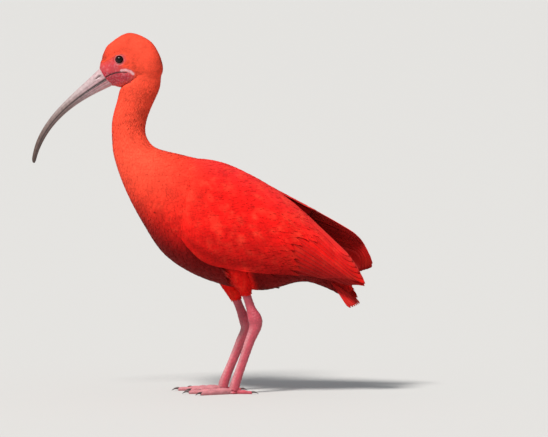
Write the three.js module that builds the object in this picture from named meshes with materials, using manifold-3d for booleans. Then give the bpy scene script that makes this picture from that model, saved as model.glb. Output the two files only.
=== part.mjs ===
// A scarlet ibis standing at rest, life size, in millimetres.
// +Z is up, the bird faces -X and its left side is towards -Y. The feet stand on z = 0.
import * as THREE from "three";
import { mergeVertices } from "three/addons/utils/BufferGeometryUtils.js";
import Module from "manifold-3d";

const wasm = await Module();
wasm.setup();

// Driving dimensions
const GAP = 0.3; // between pieces that touch
const BODY_SIDES = 24;
const HEAD_SIDES = 20;
const BODY_FULLNESS = -0.1; // below zero the body is widest under its middle
const NECK_STATIONS = 12;
const TORSO_STATIONS = 20;
const HEAD_STATIONS = 18;

// Outlines of neck and torso in side view, [x, z], from inside the head to the end of the tail coverts
const BACK_LINE = [
  [-54, 398],
  [-56.5, 380.5],
  [-66, 359],
  [-73, 339],
  [-73, 321],
  [-60, 305],
  [-26, 296],
  [19, 284],
  [57, 264],
  [96, 234],
  [130, 202],
  [152, 177],
  [172, 155],
  [183.5, 130],
];
const FRONT_LINE = [
  [-92, 408],
  [-104.5, 384],
  [-109.8, 365],
  [-115.8, 341],
  [-116.3, 319],
  [-113.5, 294],
  [-101, 257],
  [-79, 214],
  [-49, 171],
  [1, 142.5],
  [64, 130],
  [114, 141],
  [146, 135],
  [176, 120],
];
const BODY_HALF_WIDTH = [15, 18, 17.5, 17, 18, 23, 34, 43, 47, 46, 40, 29, 20, 6];
const NECK_END = 5.35 / 13; // where the neck is parted from the torso

// Head, from the bill base to the back of the head
const CROWN_LINE = [
  [-131.5, 406],
  [-130, 414],
  [-126.5, 425],
  [-119, 436.5],
  [-95, 450],
  [-69, 440.5],
  [-56, 421.5],
  [-52, 405],
];
const JAW_LINE = [
  [-119, 385.5],
  [-116, 384.5],
  [-112, 383.8],
  [-105, 382],
  [-88, 379],
  [-67, 383],
  [-57, 392],
  [-53, 400],
];
const HEAD_HALF_WIDTH = [8.4, 10.2, 12.2, 14.6, 18, 17.5, 12, 4.5];
const EYE = { x: -106.3, z: 416.9, out: 11.6, radius: 5.4 };
const LID = { radius: 5.0, thickness: 1.3, out: 3.7, turn: 0.25 };
// The line of the mouth runs back from the bill: how far from the bill root, its turn inwards and its slope
const GAPE = { length: 13, height: 0.9, depth: 1.6, back: 4, up: 3.4, out: 11.4, turn: 0.28, slope: 16 };

// Bill, along the line where its two halves meet
const BILL_ROOT = { x: -118, z: 395 };
const BILL_LENGTH = 150;
const BILL_DIP = 31.7; // degrees below level at the root
const BILL_CURL = 51; // degrees more at the tip
const CULMEN_HEIGHT = [16.5, 11.3, 7.6, 5.9, 4.7, 3.0];
const LOWER_HEIGHT = [10.5, 7.4, 5.0, 3.8, 3.1, 2.0];
const BILL_HALF_WIDTH = [8.2, 6.0, 4.7, 4.0, 3.3, 2.3];
const BILL_STATIONS = [-0.07, 0, 0.07, 0.16, 0.26, 0.37, 0.48, 0.59, 0.7, 0.81, 0.9, 0.96, 0.99];
const BILL_ARC = 8; // sides round one half of the bill
const BILL_TIP = { from: 0.95, length: 0.055 }; // share of the bill over which its tip is rounded
const NOSTRIL = { at: 0.085, length: 9, width: 1.7, depth: 1.6, up: 7.4, out: 5.6 };

// Legs: knee hidden in the belly, top of the bare shank, ankle, foot. The far leg is a little forward
const LEGS = {
  left: {
    side: -1,
    thigh: [34, 27, 176],
    shank: [51, 22, 127],
    ankle: [63.5, 22, 88],
    foot: [38, 21, 12.5],
  },
  right: {
    side: 1,
    thigh: [18, 27, 172],
    shank: [38, 22, 118],
    ankle: [52.5, 22, 82],
    foot: [24, 21, 12.5],
  },
};
const THIGH_RADII = [23, 18, 12.5, 7.6];
const LEG_FORE = [5.4, 5.7, 8.6, 6.6, 5.7, 5.5, 6.2, 6.0];
const LEG_SIDE = [4.7, 4.9, 7.4, 5.2, 4.5, 4.5, 5.6, 6.0];
const ANKLE_AT = 2 / 6;
const FOOT_AT = 5 / 6;
const LEG_SIDES = 10;
const LEG_END = { back: 2, height: 4.5 }; // where the leg's middle line ends inside the foot
const SCUTES = { count: 12, rise: 0.7, length: 0.9, facing: 0.3 }; // plates across the front of the tarsus
const THIGH_SIDES = 18;
// Shares left open: of the thigh's length above the shank, and of the leg's length at its start and joints
const SHANK_DROP = 0.006;
const SHANK_START = 0.002;
const JOINT_SLACK = 0.0012;

// Toes: angle from straight ahead (positive is outwards), length and radius at the root
const TOES = [
  { name: "inner", angle: -20, length: 42, radius: 3.7 },
  { name: "middle", angle: 2, length: 55, radius: 4.0 },
  { name: "outer", angle: 31, length: 46, radius: 3.8 },
  { name: "hind", angle: 172, length: 24, radius: 3.2 },
];
const TOE_SIDES = 8;
const SOLE_FLAT = 0.45; // share of a toe's radius that is pressed flat
const SOLE_CLEARANCE = 1.02; // height of a toe's middle in its own radii
const PAD = { radius: 6.4, height: 5, top: 0.8, back: 3, sides: 12 };
const TOE_INSET = 2; // a toe starts this far behind the middle of the pad
const TOE_TAPER = 0.42;
const TOE_JOINTS = { count: 3, phase: 0.1, swell: 0.09 };
const TOE_END = { from: 0.85, pinch: 0.2 };
// Claw: radii and heights in radii of the toe's end
const CLAW = {
  length: 9.5,
  sides: 6,
  root: 0.72,
  taper: 0.86,
  flat: 0.8,
  height: 1.15,
  arch: 0.35,
  drop: 0.95,
};

// Wing outlines in side view, from the shoulder to the wing tip
const WING_UPPER = [
  [-34, 289],
  [-8, 293.5],
  [26, 287.5],
  [64, 269.5],
  [99, 247],
  [131, 219.5],
  [162, 190],
  [187, 164],
  [204.5, 136],
];
const WING_LOWER = [
  [-42, 216],
  [-24, 191],
  [2, 170],
  [39, 161],
  [75, 156],
  [107, 153],
  [141, 147],
  [172, 138],
  [196, 130.5],
];
const WING_TOP_GAP = [13, 10, 6, 3, 2.5, 3, 5, 8, 12]; // from the middle plane to the upper edge
const WING_BULGE = [36, 50, 57, 58, 55, 49, 40, 31, 23]; // from the middle plane to the outermost point
const WING_DEPTH = [20, 20, 18, 16, 12, 8, 4, 2.2, 1.6]; // thickness of the wing under its feathers
const WING_WRAP = THREE.MathUtils.degToRad(105);
const WING_CORE_END = 0.62; // the flight feathers reach on from here alone
const WING_CORE_GRID = [10, 7];
// How far the core is drawn in at the shoulder and along its upper and lower edges, and over what shares
const WING_RIM = { front: 9, frontShare: 0.1, edge: 2.5, edgeShare: 0.08, fadeFrom: 0.3, fadeTo: 0.6 };

// Tiers of wing feathers: where the first and last vane's root and tip lie, as [along, down] shares of the
// wing, half a vane's width as a share of the wing's height, and how far root and tip stand off the surface.
const COVERT_SINK = 2.2;
const COVERTS = [
  {
    count: 5,
    roots: [[0.15, 0.16], [0.05, 0.9]],
    tips: [[0.29, 0.17], [0.17, 0.92]],
    half: [0.09, 0.1],
    lift: [-0.4, 1.0],
  },
  {
    count: 6,
    roots: [[0.26, 0.16], [0.14, 0.92]],
    tips: [[0.42, 0.17], [0.3, 0.94]],
    half: [0.08, 0.09],
    lift: [-0.4, 1.1],
  },
  {
    count: 6,
    roots: [[0.38, 0.16], [0.26, 0.92]],
    tips: [[0.57, 0.16], [0.48, 0.94]],
    half: [0.08, 0.09],
    lift: [-0.4, 1.2],
  },
  {
    count: 3,
    roots: [[0.1, 0.06], [0.34, 0.1]],
    tips: [[0.36, 0.07], [0.66, 0.12]],
    half: [0.06, 0.06],
    lift: [-0.5, 1.8],
  },
];
const FLIGHT_THICKNESS = 0.8;
const FLIGHT_THINNING = 0.4; // share of its thickness that a vane loses by its tip
const FLIGHT_TIERS = [
  {
    count: 3,
    roots: [[0.54, 0.5], [0.52, 0.78]],
    tips: [[1.0, 0.5], [0.95, 0.82]],
    half: [0.1, 0.24],
    lift: [-2.0, -2.6],
  },
  {
    count: 4,
    roots: [[0.48, 0.56], [0.44, 0.91]],
    tips: [[0.95, 0.5], [0.82, 0.88]],
    half: [0.09, 0.17],
    lift: [-1.0, -1.1],
  },
  {
    count: 5,
    roots: [[0.5, 0.1], [0.48, 0.5]],
    tips: [[0.86, 0.22], [0.985, 0.55]],
    half: [0.08, 0.2],
    lift: [-0.5, 0.7],
  },
];
// A vane's tip is rounded by this share of its length, and its lower edge is raised by this much
const VANE = { tipRound: 0.14, tilt: 0.32 };
const COVERT_GRID = [3, 4]; // rows along a vane and across it
const FLIGHT_GRID = [4, 3];
// The far wing is held higher towards its tip, most at its upper edge
const RIGHT_WING_LIFT = { from: 0.42, to: 0.9, x: 10, z: 26, keel: 0.5 };

// Tail
const TAIL_ROOT = [132.5, 182];
const TAIL_LENGTH = 93;
const TAIL_DIP = 49.8;
const TAIL_ROLL = 10; // the right side is carried higher
const TAIL_HALF_WIDTH = 27;
const TAIL_DROOP = 7.5;
const TAIL_ROOT_WIDTH = 0.35; // share of the full width
const TAIL_ROUND = 0.06; // how much shorter the outermost feathers are, as a share
const TAIL_CORE = { end: 0.62, top: 0.6, bottom: 3, grid: [5, 7] };
const TAIL_FEATHERS = { count: 12, root: 0.25, half: [0.075, 0.11], lift: 1.2, sink: 1, tilt: 0.3 };

// Materials
const paint = (color, roughness) => new THREE.MeshStandardMaterial({ color, roughness, metalness: 0 });
const PLUMAGE = paint(0xe8200e, 0.75);
const FLIGHT = paint(0xd4140b, 0.65);
const BILL_HORN = paint(0x8d7f84, 0.5);
const LEG_SKIN = paint(0xd9607a, 0.6);
const CLAW_HORN = paint(0x3d2b2b, 0.45);
const EYE_DARK = paint(0x120a0a, 0.1);

const model = new THREE.Group();

// Curves and profiles

// A smooth scalar through equally spaced values, for t from 0 to 1.
function profile(values) {
  const line = new THREE.SplineCurve(values.map((value, i) => new THREE.Vector2(i, value)));
  return (t) => line.getPoint(THREE.MathUtils.clamp(t, 0, 1)).y;
}

// A smooth line in the middle plane through [x, z] points, for t from 0 to 1.
function outline(points) {
  const line = new THREE.SplineCurve(points.map(([x, z]) => new THREE.Vector2(x, z)));
  return (t) => {
    const p = line.getPoint(THREE.MathUtils.clamp(t, 0, 1));
    return new THREE.Vector3(p.x, 0, p.y);
  };
}

function smooth(from, to, t) {
  return THREE.MathUtils.smoothstep(t, from, to);
}

function range(count) {
  return Array.from({ length: count }, (_, i) => i);
}

// Shares from 0 to 1.
function evenly(count) {
  return range(count).map((i) => i / (count - 1));
}

// Solids

function geometryFrom(points, triangles) {
  const geometry = new THREE.BufferGeometry().setFromPoints(points);
  geometry.setIndex(triangles.flat());
  return geometry;
}

function solidFrom(geometry) {
  const bare = new THREE.BufferGeometry().setAttribute("position", geometry.getAttribute("position"));
  if (geometry.index) bare.setIndex(geometry.index);
  const merged = mergeVertices(bare, 1e-4);
  const vertProperties = new Float32Array(merged.getAttribute("position").array);
  const triVerts = new Uint32Array(merged.index.array);
  const made = new wasm.Manifold(new wasm.Mesh({ numProp: 3, vertProperties, triVerts }));
  if (made.volume() > 0) return made;
  for (let i = 0; i < triVerts.length; i += 3) {
    [triVerts[i + 1], triVerts[i + 2]] = [triVerts[i + 2], triVerts[i + 1]];
  }
  return new wasm.Manifold(new wasm.Mesh({ numProp: 3, vertProperties, triVerts }));
}

// The largest closed surface of a solid, with any hollow inside it filled.
function largest(solid) {
  return solid.decompose().reduce((best, body) => (body.volume() > best.volume() ? body : best));
}

function fuse(solids) {
  return solids.reduce((whole, solid) => whole.add(solid));
}

function addNode(name, solid, material) {
  const mesh = largest(solid).getMesh();
  const geometry = new THREE.BufferGeometry();
  geometry.setAttribute("position", new THREE.BufferAttribute(new Float32Array(mesh.vertProperties), 3));
  geometry.setIndex(new THREE.BufferAttribute(new Uint32Array(mesh.triVerts), 1));
  geometry.computeVertexNormals();
  const node = new THREE.Mesh(geometry, material);
  node.name = name;
  model.add(node);
}

// A closed surface over rings of points, with each end closed by a fan to its middle.
function skin(rings) {
  const middle = (ring) => ring.reduce((sum, p) => sum.add(p), new THREE.Vector3()).divideScalar(ring.length);
  const points = [...rings.flat(), middle(rings[0]), middle(rings.at(-1))];
  const sides = rings[0].length;
  const first = points.length - 2;
  const last = points.length - 1;
  const triangles = [];
  for (let j = 0; j < sides; j++) {
    const k = (j + 1) % sides;
    triangles.push([first, k, j]);
    for (let i = 0; i + 1 < rings.length; i++) {
      const a = i * sides;
      const b = a + sides;
      triangles.push([a + j, a + k, b + k], [a + j, b + k, b + j]);
    }
    const end = (rings.length - 1) * sides;
    triangles.push([end + j, end + k, last]);
  }
  return solidFrom(geometryFrom(points, triangles));
}

// A closed plate between two grids of points, split into triangles alike on both faces.
function slab(rows, columns, top, bottom) {
  const points = [];
  for (const face of [top, bottom]) {
    for (let i = 0; i < rows; i++) {
      for (let j = 0; j < columns; j++) points.push(face(i / (rows - 1), j / (columns - 1)));
    }
  }
  const under = rows * columns;
  const triangles = [];
  for (let i = 0; i + 1 < rows; i++) {
    for (let j = 0; j + 1 < columns; j++) {
      const a = i * columns + j;
      const b = a + columns;
      triangles.push([a, b, b + 1], [a, b + 1, a + 1]);
      triangles.push([under + a, under + b + 1, under + b], [under + a, under + a + 1, under + b + 1]);
    }
  }
  const rim = [];
  for (let j = 0; j + 1 < columns; j++) rim.push(j);
  for (let i = 0; i + 1 < rows; i++) rim.push(i * columns + columns - 1);
  for (let j = columns - 1; j > 0; j--) rim.push((rows - 1) * columns + j);
  for (let i = rows - 1; i > 0; i--) rim.push(i * columns);
  rim.forEach((a, i) => {
    const b = rim[(i + 1) % rim.length];
    triangles.push([a, b, under + b], [a, under + b, under + a]);
  });
  return solidFrom(geometryFrom(points, triangles));
}

// Neck, torso and head

const backLine = outline(BACK_LINE);
const frontLine = outline(FRONT_LINE);
const bodyHalfWidth = profile(BODY_HALF_WIDTH);
const crownLine = outline(CROWN_LINE);
const jawLine = outline(JAW_LINE);
const headHalfWidth = profile(HEAD_HALF_WIDTH);

// A ring across the bird from its upper outline to its lower one, wider above or below by `fullness`.
function ribRing(upper, lower, halfWidth, fullness, sides, grow) {
  const centre = upper.clone().add(lower).multiplyScalar(0.5);
  const half = upper.clone().sub(lower).multiplyScalar(0.5);
  half.setLength(half.length() + grow);
  return range(sides).map((k) => {
    const angle = (2 * Math.PI * k) / sides;
    const point = centre.clone().addScaledVector(half, Math.cos(angle));
    point.y = (halfWidth + grow) * Math.sin(angle) * (1 + fullness * Math.cos(angle));
    return point;
  });
}

// Neck and torso between two places on their outlines, each end face moved by `trim` to leave a gap.
function bodyPiece(from, to, stations, trimFrom, trimTo, grow = 0) {
  const rings = range(stations).map((i) => {
    const t = from + ((to - from) * i) / (stations - 1);
    return ribRing(backLine(t), frontLine(t), bodyHalfWidth(t), BODY_FULLNESS, BODY_SIDES, grow);
  });
  const shift = (ring, t, distance) => {
    const across = backLine(t).sub(frontLine(t)).normalize();
    const onward = new THREE.Vector3(-across.z, 0, across.x).multiplyScalar(-distance);
    ring.forEach((p) => p.add(onward));
  };
  shift(rings[0], from, trimFrom);
  shift(rings.at(-1), to, trimTo);
  return skin(rings);
}

function headSolid(grow = 0) {
  const ring = (t) => ribRing(crownLine(t), jawLine(t), headHalfWidth(t), 0, HEAD_SIDES, grow);
  return skin(evenly(HEAD_STATIONS).map(ring));
}

function eyeBall(side, radius) {
  const ball = new THREE.SphereGeometry(radius, 12, 8);
  ball.rotateX(Math.PI / 2);
  ball.translate(EYE.x, side * EYE.out, EYE.z);
  return solidFrom(ball);
}

function lidRing(side) {
  const ring = new THREE.TorusGeometry(LID.radius, LID.thickness, 5, 12);
  ring.rotateX(Math.PI / 2);
  ring.rotateZ(side * LID.turn);
  ring.translate(EYE.x, side * (EYE.out + LID.out), EYE.z);
  return solidFrom(ring);
}

function gapeSlot(side) {
  const slot = new THREE.BoxGeometry(GAPE.length, 2 * GAPE.depth, GAPE.height);
  slot.rotateZ(-side * GAPE.turn);
  slot.rotateY(-THREE.MathUtils.degToRad(GAPE.slope));
  slot.translate(BILL_ROOT.x + GAPE.back, side * GAPE.out, BILL_ROOT.z + GAPE.up);
  return solidFrom(slot);
}

const head = headSolid();
const headAndGap = headSolid(GAP);
let headNode = fuse([head, lidRing(-1), lidRing(1)]);
for (const side of [-1, 1]) {
  headNode = headNode.subtract(eyeBall(side, EYE.radius + GAP)).subtract(gapeSlot(side));
}
addNode("head", headNode, PLUMAGE);
addNode("eye_left", eyeBall(-1, EYE.radius), EYE_DARK);
addNode("eye_right", eyeBall(1, EYE.radius), EYE_DARK);

addNode("neck", bodyPiece(0, NECK_END, NECK_STATIONS, 0, -GAP / 2).subtract(headAndGap), PLUMAGE);
const torso = bodyPiece(NECK_END, 1, TORSO_STATIONS, GAP / 2, 0);
const torsoAndGap = bodyPiece(NECK_END, 1, TORSO_STATIONS, GAP / 2, GAP, GAP);
addNode("torso", torso, PLUMAGE);

// Bill

const culmenHeight = profile(CULMEN_HEIGHT);
const lowerHeight = profile(LOWER_HEIGHT);
const billHalfWidth = profile(BILL_HALF_WIDTH);

// The point and the heading of the bill's middle line at a share s of its length.
function billFrame(s) {
  const steps = 40;
  const heading = (u) => THREE.MathUtils.degToRad(BILL_DIP + BILL_CURL * Math.max(u, 0) ** 2);
  const point = new THREE.Vector3(BILL_ROOT.x, 0, BILL_ROOT.z);
  for (let i = 0; i < steps; i++) {
    const u = (s * (i + 0.5)) / steps;
    point.x -= (Math.cos(heading(u)) * s * BILL_LENGTH) / steps;
    point.z -= (Math.sin(heading(u)) * s * BILL_LENGTH) / steps;
  }
  const angle = heading(s);
  return { point, up: new THREE.Vector3(-Math.sin(angle), 0, Math.cos(angle)) };
}

// One half of the bill: a flat face along the mouth and a rounded back.
function mandible(direction, height) {
  const rings = BILL_STATIONS.map((s) => {
    const { point, up } = billFrame(s);
    const past = Math.max(s - BILL_TIP.from, 0) / BILL_TIP.length;
    const tip = Math.sqrt(1 - past ** 2);
    return range(BILL_ARC + 1).map((k) => {
      const angle = (Math.PI * k) / BILL_ARC;
      const rise = GAP / 2 + height(s) * tip * Math.sin(angle) ** 0.9;
      const p = point.clone().addScaledVector(up, direction * rise);
      p.y = billHalfWidth(s) * tip * Math.cos(angle);
      return p;
    });
  });
  return skin(rings);
}

function nostrilCut(side) {
  const slot = new THREE.SphereGeometry(1, 10, 6);
  slot.scale(NOSTRIL.length / 2, NOSTRIL.depth, NOSTRIL.width / 2);
  slot.rotateY(THREE.MathUtils.degToRad(-BILL_DIP));
  const { point, up } = billFrame(NOSTRIL.at);
  const at = point.addScaledVector(up, NOSTRIL.up);
  slot.translate(at.x, side * NOSTRIL.out, at.z);
  return solidFrom(slot);
}

let upperBill = mandible(1, culmenHeight).subtract(headAndGap);
for (const side of [-1, 1]) upperBill = upperBill.subtract(nostrilCut(side));
addNode("bill_upper", upperBill, BILL_HORN);
addNode("bill_lower", mandible(-1, lowerHeight).subtract(headAndGap), BILL_HORN);

// Legs

// A tube along a path, with its own radius fore and aft and sideways. `dress` adds to the front radius.
function tubeRings(path, from, to, stations, sides, fore, sideways, dress = () => 0) {
  return stations.map((share) => {
    const t = from + (to - from) * share;
    const along = path.getTangent(t);
    const side = new THREE.Vector3(0, 1, 0).addScaledVector(along, -along.y).normalize();
    const front = side.clone().cross(along).normalize();
    const centre = path.getPoint(t);
    return range(sides).map((k) => {
      const angle = (2 * Math.PI * (k + 0.5)) / sides;
      const reach = fore(t) + dress(share, Math.cos(angle));
      return centre
        .clone()
        .addScaledVector(front, reach * Math.cos(angle))
        .addScaledVector(side, sideways(t) * Math.sin(angle));
    });
  });
}

const thighs = {};
const thighGaps = {};

// A toe's thickness along it: swollen at its joints and drawn in at its end.
function toeSwell(s) {
  const wave = Math.cos(2 * Math.PI * (s * TOE_JOINTS.count + TOE_JOINTS.phase));
  return 1 + TOE_JOINTS.swell * wave - TOE_END.pinch * smooth(TOE_END.from, 1, s);
}

function addLeg(word, leg) {
  const place = ([x, y, z]) => new THREE.Vector3(x, leg.side * y, z);
  const [thigh, shank, ankle, foot] = [leg.thigh, leg.shank, leg.ankle, leg.foot].map(place);

  const thighPath = new THREE.LineCurve3(thigh, shank);
  const thighRadius = profile(THIGH_RADII);
  const build = (grow) => {
    const radius = (t) => thighRadius(t) + grow;
    return skin(tubeRings(thighPath, 0, 1, evenly(8), THIGH_SIDES, radius, radius));
  };
  thighGaps[word] = build(GAP);
  thighs[word] = build(0).subtract(torsoAndGap);

  const between = (a, b, share) => a.clone().lerp(b, share);
  const legPath = new THREE.CatmullRomCurve3([
    between(shank, thigh, -SHANK_DROP),
    between(shank, ankle, 0.55),
    ankle,
    between(ankle, foot, 0.3),
    between(ankle, foot, 0.65),
    foot,
    new THREE.Vector3(foot.x - LEG_END.back, foot.y, LEG_END.height),
  ]);
  const fore = profile(LEG_FORE);
  const sideways = profile(LEG_SIDE);
  const gap = GAP / 2 / legPath.getLength() + JOINT_SLACK;
  const scute = (share, facing) => {
    const place = share * SCUTES.count;
    const down = place - Math.floor(place + 1e-6);
    return facing > SCUTES.facing ? SCUTES.rise * (1 - down) : 0;
  };
  const ankleTop = ANKLE_AT - gap;
  const shankRings = tubeRings(legPath, SHANK_START, ankleTop, evenly(8), LEG_SIDES, fore, sideways);
  addNode(`shank_${word}`, skin(shankRings), LEG_SKIN);
  const steps = range(SCUTES.count).flatMap((i) => [i, i + SCUTES.length].map((at) => at / SCUTES.count));
  const ends = [ANKLE_AT + gap, FOOT_AT - gap];
  const tarsusRings = tubeRings(legPath, ...ends, steps, LEG_SIDES, fore, sideways, scute);
  addNode(`tarsus_${word}`, skin(tarsusRings), LEG_SKIN);

  const footParts = [skin(tubeRings(legPath, FOOT_AT + gap, 1, evenly(3), LEG_SIDES, fore, sideways))];
  const pad = new THREE.Vector3(foot.x - PAD.back, foot.y, 0);
  const ball = new THREE.CylinderGeometry(PAD.radius * PAD.top, PAD.radius, PAD.height, PAD.sides);
  ball.rotateX(Math.PI / 2);
  ball.translate(pad.x, pad.y, PAD.height / 2);
  footParts.push(solidFrom(ball));
  for (const toe of TOES) {
    const angle = THREE.MathUtils.degToRad(toe.angle);
    const ahead = new THREE.Vector3(-Math.cos(angle), leg.side * Math.sin(angle), 0);
    const across = new THREE.Vector3(-ahead.y, ahead.x, 0);
    const radiusAt = (s) => toe.radius * (1 - TOE_TAPER * s) * toeSwell(s);
    const rings = evenly(7).map((s) => {
      const radius = radiusAt(s);
      const middle = pad.clone().addScaledVector(ahead, (toe.length + TOE_INSET) * s - TOE_INSET);
      return range(TOE_SIDES).map((k) => {
        const turn = (2 * Math.PI * (k + 0.5)) / TOE_SIDES;
        const p = middle.clone().addScaledVector(across, radius * Math.sin(turn));
        const rise = radius * (SOLE_CLEARANCE - Math.cos(turn));
        p.z = rise < radius * SOLE_FLAT ? 0 : rise;
        return p;
      });
    });
    footParts.push(skin(rings));
    addNode(`claw_${word}_${toe.name}`, claw(pad, ahead, toe.length, radiusAt(TOE_END.from)), CLAW_HORN);
  }
  addNode(`foot_${word}`, fuse(footParts), LEG_SKIN);
}

// A claw that leaves the toe's end, arches a little and comes down to the floor.
function claw(pad, ahead, from, radius) {
  const across = new THREE.Vector3(-ahead.y, ahead.x, 0);
  const rings = evenly(5).map((s) => {
    const thick = radius * CLAW.root * (1 - CLAW.taper * s ** 1.3);
    const middle = pad.clone().addScaledVector(ahead, from + GAP + CLAW.length * s);
    middle.z = radius * (CLAW.height + CLAW.arch * Math.sin(Math.PI * s) - CLAW.drop * s ** 2);
    return range(CLAW.sides).map((k) => {
      const turn = (2 * Math.PI * (k + 0.5)) / CLAW.sides;
      const p = middle.clone().addScaledVector(across, thick * CLAW.flat * Math.sin(turn));
      p.z += thick * Math.cos(turn);
      return p;
    });
  });
  return skin(rings);
}

addLeg("left", LEGS.left);
addLeg("right", LEGS.right);

// Wings

const wingUpper = outline(WING_UPPER);
const wingLower = outline(WING_LOWER);
const wingTopGap = profile(WING_TOP_GAP);
const wingBulge = profile(WING_BULGE);
const wingDepth = profile(WING_DEPTH);

// The wing's outer surface: t runs from the shoulder to the tip, v from the upper edge to the lower one.
function wingSurface(side) {
  const position = (t, v) => {
    const angle = v * WING_WRAP;
    const down = (1 - Math.cos(angle)) / (1 - Math.cos(WING_WRAP));
    const point = wingUpper(t).lerp(wingLower(t), down);
    point.y = side * (wingTopGap(t) + (wingBulge(t) - wingTopGap(t)) * Math.sin(angle));
    if (side > 0) {
      const lift = smooth(RIGHT_WING_LIFT.from, RIGHT_WING_LIFT.to, t);
      point.x += RIGHT_WING_LIFT.x * lift;
      point.z += RIGHT_WING_LIFT.z * lift * (1 - RIGHT_WING_LIFT.keel * down);
    }
    return point;
  };
  const step = 0.004;
  const normal = (t, v) => {
    const along = position(Math.min(t + step, 1), v).sub(position(Math.max(t - step, 0), v));
    const across = position(t, v + step).sub(position(t, v - step));
    return along.cross(across).normalize().multiplyScalar(side);
  };
  return (t, v, offset) => position(t, v).addScaledVector(normal(t, v), offset);
}

function wingCore(side) {
  const at = wingSurface(side);
  const edge = (t, v) => {
    const front = WING_RIM.front * (1 - smooth(0, WING_RIM.frontShare, t));
    const rim = 1 - smooth(0, WING_RIM.edgeShare, Math.min(v, 1 - v));
    return -front - WING_RIM.edge * rim * (1 - smooth(WING_RIM.fadeFrom, WING_RIM.fadeTo, t));
  };
  const face = (share, v, depth) => {
    const t = share * WING_CORE_END;
    return at(t, v, edge(t, v) - depth(t));
  };
  const top = (share, v) => face(share, v, () => 0);
  const bottom = (share, v) => face(share, v, wingDepth);
  return slab(...WING_CORE_GRID, top, bottom);
}

// A vane's width along it, as a share of its half width: broadest past its middle, drawn in at its tip.
function vaneWidth(s) {
  return 0.6 + 0.8 * s - 0.75 * s ** 3;
}

// One feather as a curved vane on a surface, from its root to its tip. Its lower edge is raised over the
// next vane. `under` gives the height of its underside from the height of its top.
function vane(at, root, tip, half, lift, tilt, under, [rows, columns]) {
  const { lerp } = THREE.MathUtils;
  const place = (s, u, side) => {
    const c = 2 * u - 1;
    const along = s * (1 - VANE.tipRound * c * c);
    const width = lerp(half[0], half[1], s) * vaneWidth(s);
    const height = lerp(lift[0], lift[1], s) + tilt * c * (0.4 + 0.6 * s);
    return at(lerp(root[0], tip[0], along), lerp(root[1], tip[1], along) + c * width, side(height, s));
  };
  const top = (s, u) => place(s, u, (height) => height);
  const bottom = (s, u) => place(s, u, under);
  return slab(rows, columns, top, bottom);
}

// The vanes of one tier, shared out evenly from its first to its last.
function tierOf(at, tier, under, grid) {
  const mix = ([a, b], share) => a.map((value, i) => THREE.MathUtils.lerp(value, b[i], share));
  return evenly(tier.count).map((share) => {
    const root = mix(tier.roots, share);
    const tip = mix(tier.tips, share);
    return vane(at, root, tip, tier.half, tier.lift, VANE.tilt, under, grid);
  });
}

// The underside of a flight or tail feather, which thins towards its tip.
function thin(height, s) {
  return height - FLIGHT_THICKNESS * (1 - FLIGHT_THINNING * s);
}

function wingFeathers(side) {
  const at = wingSurface(side);
  const sunk = () => -COVERT_SINK;
  return [
    ...FLIGHT_TIERS.flatMap((tier) => tierOf(at, tier, thin, FLIGHT_GRID)),
    ...COVERTS.flatMap((tier) => tierOf(at, tier, sunk, COVERT_GRID)),
  ];
}

function addWing(word, side) {
  const whole = fuse([wingCore(side), ...wingFeathers(side)]);
  addNode(`wing_${word}`, whole.subtract(torsoAndGap).subtract(thighGaps[word]), FLIGHT);
}

addWing("left", -1);
addWing("right", 1);
addNode("thigh_left", thighs.left, PLUMAGE);
addNode("thigh_right", thighs.right, PLUMAGE);

// Tail

// The tail's surface: s runs from the root to the tip, u from the left edge to the right one.
function tailSurface() {
  const dip = THREE.MathUtils.degToRad(TAIL_DIP);
  const roll = THREE.MathUtils.degToRad(TAIL_ROLL);
  const along = new THREE.Vector3(Math.cos(dip), 0, -Math.sin(dip));
  const up = new THREE.Vector3(Math.sin(dip), 0, Math.cos(dip)).applyAxisAngle(along, roll);
  const across = up.clone().cross(along);
  return (s, u, offset) => {
    const c = 2 * u - 1;
    const point = new THREE.Vector3(TAIL_ROOT[0], 0, TAIL_ROOT[1]);
    const spread = THREE.MathUtils.lerp(TAIL_ROOT_WIDTH, 1, s);
    point.addScaledVector(across, c * TAIL_HALF_WIDTH * spread);
    point.addScaledVector(along, TAIL_LENGTH * (s - TAIL_ROUND * c * c));
    return point.addScaledVector(up, offset - TAIL_DROOP * s * c * c);
  };
}

function tailSolid() {
  const at = tailSurface();
  const top = (s, u) => at(s * TAIL_CORE.end, u, TAIL_CORE.top - s);
  const bottom = (s, u) => at(s * TAIL_CORE.end, u, s - TAIL_CORE.bottom);
  const core = slab(...TAIL_CORE.grid, top, bottom);
  const { count, root, half, sink } = TAIL_FEATHERS;
  const feathers = range(count).map((i) => {
    const u = (i + 0.5) / count;
    const outward = 2 * u - 1;
    const lift = TAIL_FEATHERS.lift * (1 - Math.abs(outward));
    const tilt = TAIL_FEATHERS.tilt * Math.sign(outward);
    return vane(at, [root, u], [1, u], half, [lift - sink, lift], tilt, thin, FLIGHT_GRID);
  });
  return fuse([core, ...feathers]);
}

addNode("tail", tailSolid().subtract(torsoAndGap), FLIGHT);

const bounds = new THREE.Box3().setFromObject(model);
const middle = bounds.getCenter(new THREE.Vector3());
model.position.set(-middle.x, -middle.y, -bounds.min.z);

export default model;
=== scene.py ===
import math

import bpy
import numpy as np
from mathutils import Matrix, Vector, bvhtree, kdtree, noise


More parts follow.
